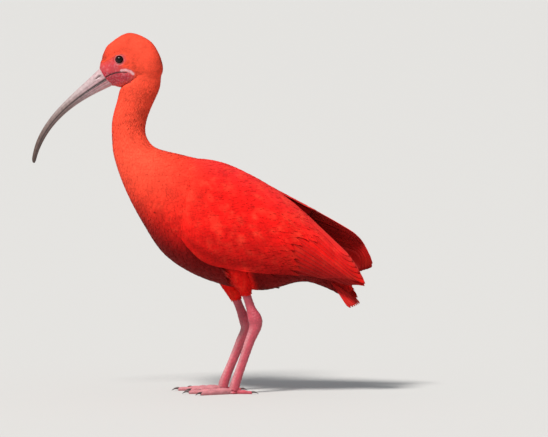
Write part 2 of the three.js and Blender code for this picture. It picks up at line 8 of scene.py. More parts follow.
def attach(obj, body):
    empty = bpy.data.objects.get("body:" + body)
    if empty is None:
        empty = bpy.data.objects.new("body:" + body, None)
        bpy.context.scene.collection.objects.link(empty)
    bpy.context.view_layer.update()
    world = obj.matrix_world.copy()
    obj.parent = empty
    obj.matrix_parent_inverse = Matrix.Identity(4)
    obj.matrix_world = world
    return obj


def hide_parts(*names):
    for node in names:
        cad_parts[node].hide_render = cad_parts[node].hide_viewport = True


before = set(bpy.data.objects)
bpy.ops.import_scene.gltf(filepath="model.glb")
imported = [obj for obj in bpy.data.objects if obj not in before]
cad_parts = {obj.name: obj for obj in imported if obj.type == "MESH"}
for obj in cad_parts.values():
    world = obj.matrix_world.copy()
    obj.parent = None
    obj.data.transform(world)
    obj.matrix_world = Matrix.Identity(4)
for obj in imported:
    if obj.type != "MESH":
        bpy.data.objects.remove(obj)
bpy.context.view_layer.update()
rng = np.random.default_rng(20)

CENTRED_BY = np.array([2.772, 0.0, 0.0])  # how far the solids were moved to centre them

# Neck and torso: outlines in side view and half widths, from inside the head to the tail coverts
BACK_LINE = [
    (-54, 398), (-56.5, 380.5), (-66, 359), (-73, 339), (-73, 321), (-60, 305), (-26, 296),
    (19, 284), (57, 264), (96, 234), (130, 202), (152, 177), (172, 155), (183.5, 130),
]
FRONT_LINE = [
    (-92, 408), (-104.5, 384), (-109.8, 365), (-115.8, 341), (-116.3, 319), (-113.5, 294), (-101, 257),
    (-79, 214), (-49, 171), (1, 142.5), (64, 130), (114, 141), (146, 135), (176, 120),
]
BODY_HALF_WIDTH = [15, 18, 17.5, 17, 18, 23, 34, 43, 47, 46, 40, 29, 20, 6]
BODY_FULLNESS = -0.1
BODY_COAT = [1.5, 2.2, 2.6, 2.8, 3, 3.4, 4.5, 5.5, 6.5, 7, 7, 6, 4.5, 2]  # depth of the coat

# Head
CROWN_LINE = [
    (-131.5, 406), (-130, 414), (-126.5, 425), (-119, 436.5), (-95, 450), (-69, 440.5), (-56, 421.5),
    (-52, 405),
]
JAW_LINE = [
    (-119, 385.5), (-116, 384.5), (-112, 383.8), (-105, 382), (-88, 379), (-67, 383), (-57, 392),
    (-53, 400),
]
HEAD_HALF_WIDTH = [8.4, 10.2, 12.2, 14.6, 18, 17.5, 12, 4.5]
HEAD_COAT = 1.5
FACE_OUTLINE = [
    (-140, 409), (-131, 411.5), (-120, 417), (-112, 422.5), (-104, 424.5), (-98.5, 422.5), (-97, 416),
    (-103, 408.5), (-99.5, 406.5), (-92, 405), (-87, 401), (-87.5, 395), (-92, 388), (-101, 384.5),
    (-112, 380), (-140, 378),
]
EYE = {"x": -106.3, "z": 416.9, "out": 11.6, "radius": 5.4}
LID = {"radius": 5.5, "thickness": 0.8, "out": 3.3, "turn": 0.25}
JOIN_OUTLINE = [(-101, 374), (-91, 388), (-86, 402), (-74, 424), (-40, 426), (-40, 352), (-80, 346)]
GRAIN = 1.7  # size of the throat's grains
STREAK_LINE = [(-104, 403), (-98.5, 404), (-92.5, 402), (-89, 399)]
GAPE_LINE = [(-124, 394.5), (-118.5, 397.6), (-111, 400.2), (-104.5, 401.2), (-97, 400.6)]

# Bill
BILL_ROOT = (-118, 395)
BILL_LENGTH = 150
BILL_DIP = 31.7
BILL_CURL = 51
CULMEN_HEIGHT = [16.5, 11.3, 7.6, 5.9, 4.7, 3.0]
LOWER_HEIGHT = [10.5, 7.4, 5.0, 3.8, 3.1, 2.0]
BILL_HALF_WIDTH = [8.2, 6.0, 4.7, 4.0, 3.3, 2.3]
BILL_GAP = 0.02
NOSTRIL = {"at": 0.085, "length": 10, "height": 1.3, "up": 7.4}

# Legs: knee hidden in the belly, top of the bare shank, ankle, foot
LEGS = {
    "left": {
        "side": -1, "thigh": (34, 27, 176), "shank": (51, 22, 127),
        "ankle": (63.5, 22, 88), "foot": (38, 21, 12.5),
    },
    "right": {
        "side": 1, "thigh": (18, 27, 172), "shank": (38, 22, 118),
        "ankle": (52.5, 22, 82), "foot": (24, 21, 12.5),
    },
}
THIGH_RADII = [23, 18, 12.5, 7.6]
THIGH_COAT = [4, 4, 3.2, 1.6]
THIGH_COVERED = 163  # height above which the wings hide the thighs
LEG_FORE = [5.4, 5.7, 8.6, 6.6, 5.7, 5.5, 6.2, 6.0]
LEG_SIDE = [4.7, 4.9, 7.4, 5.2, 4.5, 4.5, 5.6, 6.0]
ANKLE_AT = 2 / 6  # share of the leg from the top of the bare shank to the foot
SCUTES = 26
SCUTE_HEIGHT = 0.4
SCALE_HEIGHT = 0.28
TOES = {
    "inner": {"angle": -20, "length": 42, "radius": 3.7},
    "middle": {"angle": 2, "length": 55, "radius": 4.0},
    "outer": {"angle": 31, "length": 46, "radius": 3.8},
    "hind": {"angle": 172, "length": 24, "radius": 3.2},
}
TOE_TAPER = 0.42
JOINT_SWELL = 0.09
PAD_RADIUS = 6.4
CLAW_START = 0.85  # share of the toe where the horn begins
CLAW_LENGTH = 9.5

# Wings: outlines in side view, from shoulder to tip
WING_UPPER = [
    (-34, 289), (-8, 293.5), (26, 287.5), (64, 269.5), (99, 247), (131, 219.5), (162, 190), (187, 164),
    (204.5, 136),
]
WING_LOWER = [
    (-42, 216), (-24, 191), (2, 170), (39, 161), (75, 156), (107, 153), (141, 147), (172, 138),
    (196, 130.5),
]
WING_TOP_GAP = [13, 10, 6, 3, 2.5, 3, 5, 8, 12]
WING_BULGE = [36, 50, 57, 58, 55, 49, 40, 31, 23]
WING_DEPTH = [20, 20, 18, 16, 12, 8, 4, 2.2, 1.6]
WING_WRAP = math.radians(105)
WING_CORE_END = 0.62
COVERTS_END = 0.60
WING_COAT = 2.4
RIGHT_WING_LIFT = {"from": 0.42, "to": 0.9, "x": 10, "z": 26, "keel": 0.5}

# Tail
TAIL_ROOT = (132.5, 182)
TAIL_LENGTH = 93
TAIL_DIP = 49.8
TAIL_ROLL = 10
TAIL_HALF_WIDTH = 27
TAIL_DROOP = 7.5
TAIL_FEATHERS = 12

# Colours, linear
ORANGE = (0.98, 0.095, 0.045)
SCARLET = (0.82, 0.007, 0.005)
# CRIMSON: painted shade on the plumage's underside and on the wing core
CRIMSON = (0.16, 0.001, 0.0015)
# ROSE: painted sheen on the upward-facing back; also the pale shafts and edges of long feathers
ROSE = (0.85, 0.055, 0.055)
FACE_PINK = (0.66, 0.048, 0.062)
FACE_CRIMSON = (0.52, 0.02, 0.045)
FACE_PALE = (0.82, 0.36, 0.38)
FACE_RIM = (0.78, 0.045, 0.026)
STREAK_WHITE = (0.95, 0.52, 0.54)
LEG_ROSE = (0.66, 0.085, 0.125)
# painted highlight on the front of the lower legs
LEG_HIGHLIGHT = (0.72, 0.36, 0.38)
# painted shade in the eye socket
SOCKET_SHADE = (0.10, 0.012, 0.014)
# painted shade in the mouth crease
GAPE_SHADE = (0.05, 0.008, 0.012)
HORN_BASE = (0.38, 0.25, 0.27)
HORN_MIDDLE = (0.20, 0.135, 0.125)
HORN_TIP = (0.075, 0.045, 0.035)
HORN_PINK = (0.55, 0.20, 0.22)
# painted highlight along the outer face of each mandible
HORN_HIGHLIGHT = (0.50, 0.42, 0.42)
# painted shade where the mandibles meet
HORN_MOUTH_SHADE = (0.05, 0.03, 0.03)
PUPIL = (0.003, 0.002, 0.002)
IRIS = (0.022, 0.006, 0.005)
IRIS_RIM = (0.006, 0.003, 0.003)
CLAW_BASE = (0.10, 0.05, 0.05)
CLAW_TIP = (0.02, 0.012, 0.012)

# Studio, in metres and degrees
FLOOR_HALF = 2000.0
AMBIENT = 0.4
SUN = {"energy": 4.2, "angle": 14, "colour": (1.0, 0.97, 0.93), "from": (-0.42, -0.62, 1.0)}
CAMERA = {
    "target": (0.08902, 0, 0.218), "distance": 6, "elevation": 3,
    "focal": 4800, "picture": 548,  # both in pixels
}


# Numbers


def metres(points):
    """Points in millimetres as metres in the frame."""
    return (np.asarray(points, float) + CENTRED_BY) / 1000


def hermite(start, end, out, into, u):
    """A cubic from start to end, with its slopes at both ends."""
    cubic = 2 * start - 2 * end + out + into
    square = -3 * start + 3 * end - 2 * out - into
    return ((cubic * u + square) * u + out) * u + start


def curve(values):
    """A smooth line through evenly spaced values, read at shares from 0 to 1."""
    knots = np.asarray(values, float)
    last = len(knots) - 1

    def read(share):
        place = np.clip(np.asarray(share, float), 0, 1) * last
        i = np.minimum(place.astype(int), last - 1)
        u = place - i
        if knots.ndim > 1:
            u = u[..., None]
        before, start, end, after = (knots[np.clip(i + k, 0, last)] for k in (-1, 0, 1, 2))
        out, into = (end - before) / 2, (after - start) / 2
        return hermite(start, end, out, into, u)

    return read


def smooth(low, high, value):
    share = np.clip((np.asarray(value, float) - low) / (high - low), 0, 1)
    return share * share * (3 - 2 * share)


def lerp(a, b, share):
    return a + (b - a) * share


def mix(a, b, share):
    """Points or colours between a and b."""
    return lerp(np.asarray(a, float), np.asarray(b, float), np.asarray(share, float)[..., None])


def unit(vectors):
    return vectors / np.maximum(np.linalg.norm(vectors, axis=-1, keepdims=True), 1e-9)


def rotated(vectors, axes, angles):
    """Vectors turned about unit axes at right angles to them."""
    return vectors * np.cos(angles)[:, None] + np.cross(axes, vectors) * np.sin(angles)[:, None]


def from_line(x, z, line):
    """Distance from points in the side view to a broken line."""
    best = np.full(np.shape(x), 1e9)
    for (ax, az), (bx, bz) in zip(line[:-1], line[1:]):
        run, rise = bx - ax, bz - az
        share = np.clip(((x - ax) * run + (z - az) * rise) / (run * run + rise * rise), 0, 1)
        best = np.minimum(best, np.hypot(x - ax - share * run, z - az - share * rise))
    return best


def inside(x, z, outline):
    """Distance into an outline in the side view, below zero outside it."""
    closed = outline + outline[:1]
    within = np.zeros(np.shape(x), bool)
    for (ax, az), (bx, bz) in zip(closed[:-1], closed[1:]):
        crosses = (az > z) != (bz > z)
        within ^= crosses & (x < (bx - ax) * (z - az) / (bz - az + 1e-12) + ax)
    return np.where(within, 1, -1) * from_line(x, z, closed)


def crossed(rows, columns):
    """The row and the column value at each point of a grid."""
    return np.meshgrid(rows, columns, indexing="ij")


def turns(count):
    """Evenly spaced angles round a circle."""
    return 2 * math.pi * np.arange(count) / count


def value_noise(points, size, seed=0.0):
    """Smooth noise from about -1 to 1 at points, with features of the given size."""
    return np.array([noise.noise(Vector(p) / size + Vector((seed, 0, 0))) for p in points])


def grains(points):
    """Distance from points to the nearest grain of the bare throat, in grains."""
    return np.array([noise.voronoi(Vector(p) / GRAIN)[0][0] for p in points])


# Surfaces of the bird

back_line, front_line = curve(BACK_LINE), curve(FRONT_LINE)
body_half_width = curve(BODY_HALF_WIDTH)
crown_line, jaw_line = curve(CROWN_LINE), curve(JAW_LINE)
head_half_width = curve(HEAD_HALF_WIDTH)
wing_upper, wing_lower = curve(WING_UPPER), curve(WING_LOWER)
wing_top_gap, wing_bulge, wing_depth = curve(WING_TOP_GAP), curve(WING_BULGE), curve(WING_DEPTH)


def rib(upper, lower, half_width, fullness, angle, grow):
    """Points round the bird from its upper outline (angle 0) to its lower one (half a turn)."""
    centre, half = (upper + lower) / 2, (upper - lower) / 2
    length = np.linalg.norm(half, axis=-1)
    half = half * ((length + grow) / length)[..., None]
    x = centre[..., 0] + half[..., 0] * np.cos(angle)
    z = centre[..., 1] + half[..., 1] * np.cos(angle)
    y = (half_width + grow) * np.sin(angle) * (1 + fullness * np.cos(angle))
    return np.stack([x, y, z], -1)


def body_surface(t, angle, grow=0.0):
    return rib(back_line(t), front_line(t), body_half_width(t), BODY_FULLNESS, angle, grow)


def head_surface(t, angle, grow=0.0):
    return rib(crown_line(t), jaw_line(t), head_half_width(t), 0, angle, grow)


def wing_surface(side):
    """The wing's outer face: t from shoulder to tip, v from the upper edge to the lower one."""

    def position(t, v):
        angle = v * WING_WRAP
        down = (1 - np.cos(angle)) / (1 - math.cos(WING_WRAP))
        point = mix(wing_upper(t), wing_lower(t), down)
        gap = wing_top_gap(t)
        y = side * (gap + (wing_bulge(t) - gap) * np.sin(angle))
        x, z = point[..., 0], point[..., 1]
        if side > 0:
            lift = smooth(RIGHT_WING_LIFT["from"], RIGHT_WING_LIFT["to"], t)
            x = x + RIGHT_WING_LIFT["x"] * lift
            z = z + RIGHT_WING_LIFT["z"] * lift * (1 - RIGHT_WING_LIFT["keel"] * down)
        return np.stack([x, y, z], -1)

    def at(t, v, height=0.0):
        step = 0.004
        t, v = np.broadcast_arrays(np.asarray(t, float), np.asarray(v, float))
        along = position(np.minimum(t + step, 1), v) - position(np.maximum(t - step, 0), v)
        across = position(t, v + step) - position(t, v - step)
        beyond = np.maximum(t - 1, 0)[..., None] * along / (step * (1 + (t + step < 1)))[..., None]
        normal = unit(np.cross(along, across)) * side
        return position(t, v) + beyond + normal * np.asarray(height)[..., None]

    return at


def tail_surface():
    """The tail's upper face: s from root to tip, u from the left edge to the right one."""
    dip, roll = math.radians(TAIL_DIP), math.radians(TAIL_ROLL)
    along = np.array([math.cos(dip), 0, -math.sin(dip)])
    level = np.array([math.sin(dip), 0, math.cos(dip)])
    up = level * math.cos(roll) + np.cross(along, level) * math.sin(roll)
    across = np.cross(up, along)

    def at(s, u, height=0.0):
        c = (2 * np.asarray(u) - 1)[..., None]
        s = np.asarray(s)[..., None]
        point = np.array([TAIL_ROOT[0], 0, TAIL_ROOT[1]])
        point = point + across * c * TAIL_HALF_WIDTH * (0.35 + 0.65 * s)
        point = point + along * TAIL_LENGTH * (s - 0.06 * c * c)
        return point + up * (np.asarray(height)[..., None] - TAIL_DROOP * s * c * c)

    return at


# Markings, painted sheen and painted shade, the same on skin and coat


def thigh_nearness(points, away=20, on=9):
    """1 on the feathered thighs, 0 away from them, by the distance in the side view."""
    x, z = points[:, 0], points[:, 2]
    near = np.zeros(len(points))
    for leg in LEGS.values():
        (ax, _, az), (bx, _, bz) = leg["thigh"], leg["shank"]
        own = points[:, 1] * leg["side"] > 0
        near = np.where(own, smooth(away, on, from_line(x, z, [(ax, az), (bx, bz)])), near)
    return near * smooth(THIGH_COVERED, THIGH_COVERED - 12, z)


def plumage_colour(points, normals):
    """Colour of the plumage at points: orange neck, scarlet sides and mottling, with a painted rose sheen
    on the back and crimson painted shade underneath.
    """
    x, z, up = points[:, 0], points[:, 2], normals[:, 2]
    colour = np.tile(np.array(SCARLET), (len(points), 1))
    colour = mix(colour, ORANGE, 0.9 * smooth(30, -85, x) * smooth(185, 295, z))
    # Painted sheen: rose on upward-facing parts of the back.
    colour = mix(colour, ROSE, 0.4 * smooth(0.35, 0.95, up) * smooth(-40, 20, x) * smooth(330, 300, z))
    mottle = value_noise(points, 10.0, 5.0) + 0.6 * value_noise(points, 4.0, 7.0)
    colour = mix(colour, ORANGE, 0.2 * smooth(0.0, 0.8, mottle))
    colour = colour * (1 - 0.16 * smooth(0.0, 0.8, -mottle))[:, None]
    # Painted shade: crimson on downward-facing parts low on the body, and darker lower flanks and belly
    # where they face sideways or down; the thighs are kept out of this shade and made a quarter brighter.
    under = smooth(0.1, -0.6, up) * smooth(265, 190, z)
    thigh = thigh_nearness(points)
    low = smooth(225, 165, z) * smooth(-60, 0, x) * smooth(0.45, 0.0, up) * (1 - thigh)
    colour = colour * (1 - 0.42 * low + 0.25 * thigh)[:, None]
    return mix(colour, CRIMSON, 0.96 * under * (1 - 0.95 * thigh))


def bareness(points):
    """1 on the bare skin of the face and throat, 0 where feathers grow."""
    return smooth(-1.2, 1.2, inside(points[:, 0], points[:, 2], FACE_OUTLINE))


def face_colour(points):
    x, z = points[:, 0], points[:, 2]
    colour = np.tile(np.array(FACE_PINK), (len(points), 1))
    below = smooth(401, 397.5, z + 0.12 * (x + 105))
    colour = mix(colour, FACE_CRIMSON, 0.85 * below)
    lore = np.exp(-(((x + 114) / 5) ** 2) - ((z - 407.5) / 3) ** 2)
    colour = mix(colour, FACE_CRIMSON, 0.6 * lore)
    blotch = value_noise(points, 2.6, 9.0)
    colour = mix(colour, FACE_PALE, 0.22 * smooth(0.1, 0.5, blotch))
    colour = mix(colour, FACE_PALE, 0.5 * below * smooth(0.4, 0.1, grains(points)))
    rim = smooth(7.5, 0.5, inside(x, z, FACE_OUTLINE)) * smooth(-134, -124, x)
    colour = mix(colour, FACE_RIM, 0.85 * rim)
    streak = from_line(x, z, STREAK_LINE)
    colour = mix(colour, STREAK_WHITE, smooth(2.4, 0.6, streak) * (0.7 + 0.3 * smooth(-0.4, 0.3, blotch)))
    ring = np.hypot(x - EYE["x"], z - EYE["z"])
    colour = mix(colour, FACE_PALE, 0.3 * smooth(1.0, 0.3, np.abs(ring - 5.9)))
    # Painted shade in the eye socket, round the eyeball.
    colour = mix(colour, SOCKET_SHADE, smooth(5.6, 5.0, ring))
    # Painted shade along the mouth crease.
    crease = from_line(x, z, GAPE_LINE)
    return mix(colour, GAPE_SHADE, smooth(1.0, 0.4, crease))


# Meshes


def quads(rows, columns, closed=False):
    """Faces over a grid of points, with the last column joined to the first where closed."""
    last = columns if closed else columns - 1
    i, j = crossed(np.arange(rows - 1), np.arange(last))
    k = (j + 1) % columns
    faces = [i * columns + j, i * columns + k, (i + 1) * columns + k, (i + 1) * columns + j]
    return np.stack(faces, -1).reshape(-1, 4)


def grid_corners(row_values, column_values):
    """For each face of a grid, the row and column values of its four corners."""
    r, c = np.asarray(row_values, float), np.asarray(column_values, float)
    i, j = crossed(np.arange(len(r) - 1), np.arange(len(c) - 1))
    u = np.stack([c[j], c[j + 1], c[j + 1], c[j]], -1)
    v = np.stack([r[i], r[i], r[i + 1], r[i + 1]], -1)
    return np.stack([u, v], -1).reshape(-1, 4, 2)


def mesh_object(name, points, faces, corners=None, colour=None, vane=None):
    """An object from points in millimetres and faces that all have the same number of corners."""
    faces = np.asarray(faces)
    mesh = bpy.data.meshes.new(name)
    mesh.vertices.add(len(points))
    mesh.vertices.foreach_set("co", metres(points).astype(np.float32).ravel())
    mesh.loops.add(faces.size)
    mesh.loops.foreach_set("vertex_index", faces.ravel().astype(np.int32))
    mesh.polygons.add(len(faces))
    mesh.polygons.foreach_set("loop_start", np.arange(len(faces), dtype=np.int32) * faces.shape[1])
    mesh.update(calc_edges=True)
    mesh.validate()
    mesh.shade_smooth()
    for layer, values in (("OFBake", corners), ("Vane", vane)):
        if values is not None:
            mesh.uv_layers.new(name=layer)
            mesh.uv_layers[layer].data.foreach_set("uv", np.asarray(values, np.float32).ravel())
    if colour is not None:
        set_colour(mesh, colour)
    made = bpy.data.objects.new(name, mesh)
    bpy.context.scene.collection.objects.link(made)
    return made


def set_colour(mesh, colour):
    layer = mesh.color_attributes.new("tint", "FLOAT_COLOR", "POINT")
    rgba = np.ones((len(mesh.vertices), 4), np.float32)
    rgba[:, :3] = colour
    layer.data.foreach_set("color", rgba.ravel())


def tube(name, grid, rows, block):
    """A closed tube over rings of points, mapped to its block of the unwrap."""
    count, sides = grid.shape[:2]
    centres = grid[[0, -1]].mean(axis=1)
    points = np.concatenate([grid.reshape(-1, 3), centres])
    body = quads(count, sides, closed=True)
    j = np.arange(sides)
    k = (j + 1) % sides
    first, last = count * sides, count * sides + 1
    start = np.stack([k, j, np.full(sides, first)], -1)
    end_row = (count - 1) * sides
    end = np.stack([end_row + j, end_row + k, np.full(sides, last)], -1)
    triangles = np.concatenate([body[:, [0, 1, 2]], body[:, [0, 2, 3]], start, end])
    around = np.linspace(0, 1, sides + 1)
    body_uv = grid_corners(rows, around)
    start_uv = np.stack([around[k], around[j], around[j]], -1), np.full((sides, 3), rows[0])
    end_uv = np.stack([around[j], around[k], around[j]], -1), np.full((sides, 3), rows[-1])
    corners = np.concatenate(
        [body_uv[:, [0, 1, 2]], body_uv[:, [0, 2, 3]], np.stack(start_uv, -1), np.stack(end_uv, -1)]
    )
    a, b, c = (points[triangles[:, k]] for k in range(3))
    if (np.cross(a, b) * c).sum() < 0:
        triangles, corners = triangles[:, ::-1], corners[:, ::-1]
    left, bottom, width, height = block
    corners = corners * (width, height) + (left, bottom)
    return mesh_object(name, points, triangles, corners)


def along_tube(shares, sides):
    """For each point of a tube, how far along it lies."""
    return np.concatenate([np.repeat(shares, sides), shares[[0, -1]]])


def fetched(items, key, width=1, kind=np.float32):
    """One property of all vertices, loops or faces of a mesh."""
    values = np.empty(len(items) * width, kind)
    items.foreach_get(key, values)
    return values.reshape(-1, width) if width > 1 else values


def mesh_points(mesh):
    """The vertices of a mesh in millimetres."""
    return fetched(mesh.vertices, "co", 3) * 1000 - CENTRED_BY


# Feathers as thin vanes. A template is a grid over one vane: s from root to tip, u from edge to edge.

ROOT_DEPTH = 1.7  # how far under the outside of a thick coat a feather starts
PATCH = 0.003  # size in the unwrap of one vane


def template(rows, columns, fringe, point=0.0):
    """One vane: how far along and across each point lies, its tip frayed and more or less pointed."""
    s, u = crossed(np.linspace(0, 1, rows) ** 0.85, np.linspace(-1, 1, columns))
    width = 0.4 + 0.6 * np.sin(np.minimum(s / 0.6, 1) * math.pi / 2)
    past = np.maximum(s - 0.55, 0) / 0.51
    width = width * lerp(np.sqrt(np.clip(1 - past**2, 0, 1)), 1 - 0.85 * past, point)
    along = s * (1 - lerp(0.12, 0.3, point) * u * u)
    notched = (s == 1) & (np.arange(columns) % 2 == 1)
    along = along - fringe * notched
    return along, u * width, s


def wrapped(block, across, along):
    """Places in a block of the unwrap."""
    left, bottom, width, height = BLOCKS[block]
    return np.stack([left + across * width, bottom + along * height], -1)


def vane_mesh(name, points, grid, roots, colour):
    """One mesh of many vanes: points is (vanes, rows * columns, 3), roots are places in the unwrap."""
    rows, columns = grid
    count, per = points.shape[:2]
    faces = (quads(rows, columns)[None] + (np.arange(count) * per)[:, None, None]).reshape(-1, 4)
    share = grid_corners(np.linspace(0, 1, rows), np.linspace(0, 1, columns))
    corners = roots[:, None, None, :] + (share[None] - 0.5) * PATCH
    vane = np.tile(share.reshape(-1, 2), (count, 1))
    return mesh_object(name, points.reshape(-1, 3), faces, corners.reshape(-1, 2), colour, vane)


def thinned(points, spacing, wanted):
    """Indices of wanted points of which no two are closer than their spacing."""
    wanted = np.flatnonzero(wanted)
    tree = kdtree.KDTree(len(wanted))
    for i, point in enumerate(points[wanted]):
        tree.insert(point, i)
    tree.balance()
    free = np.ones(len(wanted), bool)
    kept = []
    for i, place in enumerate(wanted):
        if free[i]:
            kept.append(place)
            for _, j, _ in tree.find_range(points[place], spacing[place]):
                free[j] = False
    return np.array(kept)


def small_feathers(name, surface, roots, normals, lie, length, width, depth, places, shade, kind):
    """Body feathers that start inside the coat and follow the skin, their tips at the coat's outside."""
    rows, columns, fringe, point = kind
    along, across, s = (a.ravel() for a in template(rows, columns, fringe, point))
    count = len(roots)
    side = unit(np.cross(normals, lie))
    length, width, depth = (a[:, None] for a in (length, width, depth))
    reach = length * along * (1 + rng.normal(0, 0.03, (count, len(s))) * (s == 1))
    flat = roots[:, None] + reach[..., None] * lie[:, None]
    flat = flat + (width / 2 * across)[..., None] * side[:, None]
    ground, outward = (a.reshape(count, -1, 3) for a in followed(surface, flat.reshape(-1, 3)))
    beyond = smooth(2.5, 5.5, np.linalg.norm(flat - ground, axis=-1))
    ground = mix(ground, flat, beyond)
    outward = unit(mix(outward, normals[:, None], 0.5 + 0.5 * beyond))
    top = depth - np.minimum(0.8, 0.3 * depth) * (1 - s) - 0.04 * width * across**2
    start = np.maximum(depth - ROOT_DEPTH, 0.5 * depth - 0.25)
    height = lerp(start, top, smooth(-0.05, 0.33, s))
    points = ground + height[..., None] * outward
    flat_points, flat_normals = points.reshape(-1, 3), outward.reshape(-1, 3)
    colour = plumage_colour(flat_points, flat_normals).reshape(count, len(s), 3)
    # Painted shade: each vane darker towards its root, where it lies under others.
    root_shade = 0.86 + 0.14 * smooth(0.2, 0.9, s)
    colour = colour * (shade[:, None] * root_shade)[..., None]
    return vane_mesh(name, points, (rows, columns), places, colour.reshape(-1, 3))


def followed(surface, points):
    """The nearest places on the skin, and which way is out there."""
    found = [surface.find_nearest(point) for point in points]
    return np.array([hit[0] for hit in found]), np.array([hit[1] for hit in found])


# Legs and feet


def spline(points):
    """A centripetal smooth line through points, read at shares from 0 to 1."""
    knots = np.asarray(points, float)
    knots = np.concatenate([[2 * knots[0] - knots[1]], knots, [2 * knots[-1] - knots[-2]]])
    steps = np.sqrt(np.linalg.norm(np.diff(knots, axis=0), axis=1))
    last = len(points) - 1

    def read(share):
        place = np.clip(np.asarray(share, float), 0, 1) * last
        i = np.minimum(place.astype(int), last - 1)
        u = (place - i)[..., None]
        before, start, end, after = (knots[i + k] for k in range(4))
        first, middle, third = (steps[i + k][..., None] for k in range(3))
        out = (start - before) / first - (end - before) / (first + middle) + (end - start) / middle
        into = (end - start) / middle - (after - start) / (middle + third) + (after - end) / third
        out, into = out * middle, into * middle
        return hermite(start, end, out, into, u)

    return read


def path_rings(path, shares, sides, fore, sideways, relief=None):
    """Rings of points along a path. relief(share, facing) adds to the radius, facing 1 at the front."""
    shares = np.asarray(shares)
    step = 1e-3
    along = unit(path(np.minimum(shares + step, 1)) - path(np.maximum(shares - step, 0)))
    side = unit(np.array([0.0, 1.0, 0.0]) - along * along[:, 1:2])
    front = unit(np.cross(side, along))
    angle = turns(sides)
    facing, edge = np.cos(angle)[None], np.sin(angle)[None]
    added = relief(shares[:, None], facing, edge) if relief else 0
    a = (fore(shares)[:, None] + added) * facing
    b = (sideways(shares)[:, None] + added) * edge
    return path(shares)[:, None] + a[..., None] * front[:, None] + b[..., None] * side[:, None]


def leg_points(leg):
    """Knee, top of the bare shank, ankle and foot of a leg."""
    places = (leg[name] for name in ("thigh", "shank", "ankle", "foot"))
    return [np.array([x, leg["side"] * y, z], float) for x, y, z in places]


def leg_path(leg):
    shank, ankle, foot = leg_points(leg)[1:]
    return spline(
        [
            shank, mix(shank, ankle, 0.55), ankle, mix(ankle, foot, 0.3), mix(ankle, foot, 0.65), foot,
            np.array([foot[0] - 2, foot[1], 4.5]),
        ]
    )


def leg_relief(share, facing, edge):
    """Plates across the front of the leg, and rows of small scales round the rest."""
    below = smooth(ANKLE_AT - 0.03, ANKLE_AT + 0.05, share)
    place = (share - ANKLE_AT) / (1 - ANKLE_AT) * SCUTES
    plate = 1 - np.mod(place, 1) ** 3
    front = smooth(0.25, 0.5, facing)
    row = share * 95
    turn = np.arctan2(edge, facing) * 5 + 0.5 * math.pi * np.floor(row / math.pi)
    beads = np.abs(np.sin(row)) * np.abs(np.sin(turn))
    scales = SCALE_HEIGHT * (1 - below * front) * (beads - 0.5)
    return SCUTE_HEIGHT * below * front * (plate - 0.6) + scales


def toe_swell(s):
    """How much thicker a toe is at its joints."""
    return 1 + JOINT_SWELL * np.cos(2 * math.pi * (s * 3 + 0.1))


def toe_rings(leg, toe):
    foot = leg_points(leg)[3]
    pad = np.array([foot[0] - 3, foot[1], 0])
    angle = math.radians(toe["angle"])
    ahead = np.array([-math.cos(angle), leg["side"] * math.sin(angle), 0])
    across = np.array([-ahead[1], ahead[0], 0])
    s = np.linspace(0, 1, max(30, round(toe["length"] * 1.6)))[:, None]
    sides = 20
    turn = 2 * math.pi * (np.arange(sides) + 0.5)[None] / sides
    swell = toe_swell(s) - 0.2 * smooth(CLAW_START, 1, s)
    radius = toe["radius"] * (1 - TOE_TAPER * s) * swell
    plates = np.mod(s * toe["length"] / 2.6, 1) ** 3
    top = smooth(0.1, 0.6, -np.cos(turn))
    wide = radius * (1 - 0.07 * plates * top)
    middle = pad + ahead * (-2 + (toe["length"] + 2) * s)
    points = middle[:, None] + across * (wide * np.sin(turn))[..., None]
    rise = radius * 1.02 - wide * np.cos(turn)
    points[..., 2] = np.maximum(rise - radius * 0.3 * smooth(radius, 0, rise), 0.02)
    return points, pad, ahead, across


def claw_rings(pad, ahead, across, start, radius):
    s = np.linspace(0, 1, 20)[:, None]
    turn = turns(14)[None]
    thick = radius * 0.72 * (1 - 0.86 * s**1.3)
    height = radius * (1.15 + 0.35 * np.sin(math.pi * s) - 0.95 * s**2)
    points = pad + ahead * (start + CLAW_LENGTH * s[..., None])
    points = points + across * (thick * 0.8 * np.sin(turn))[..., None]
    points[..., 2] = height + thick * np.cos(turn)
    return points


# Head skin, with eye opening, mouth crease and throat folds in its surface, and the lids as rings


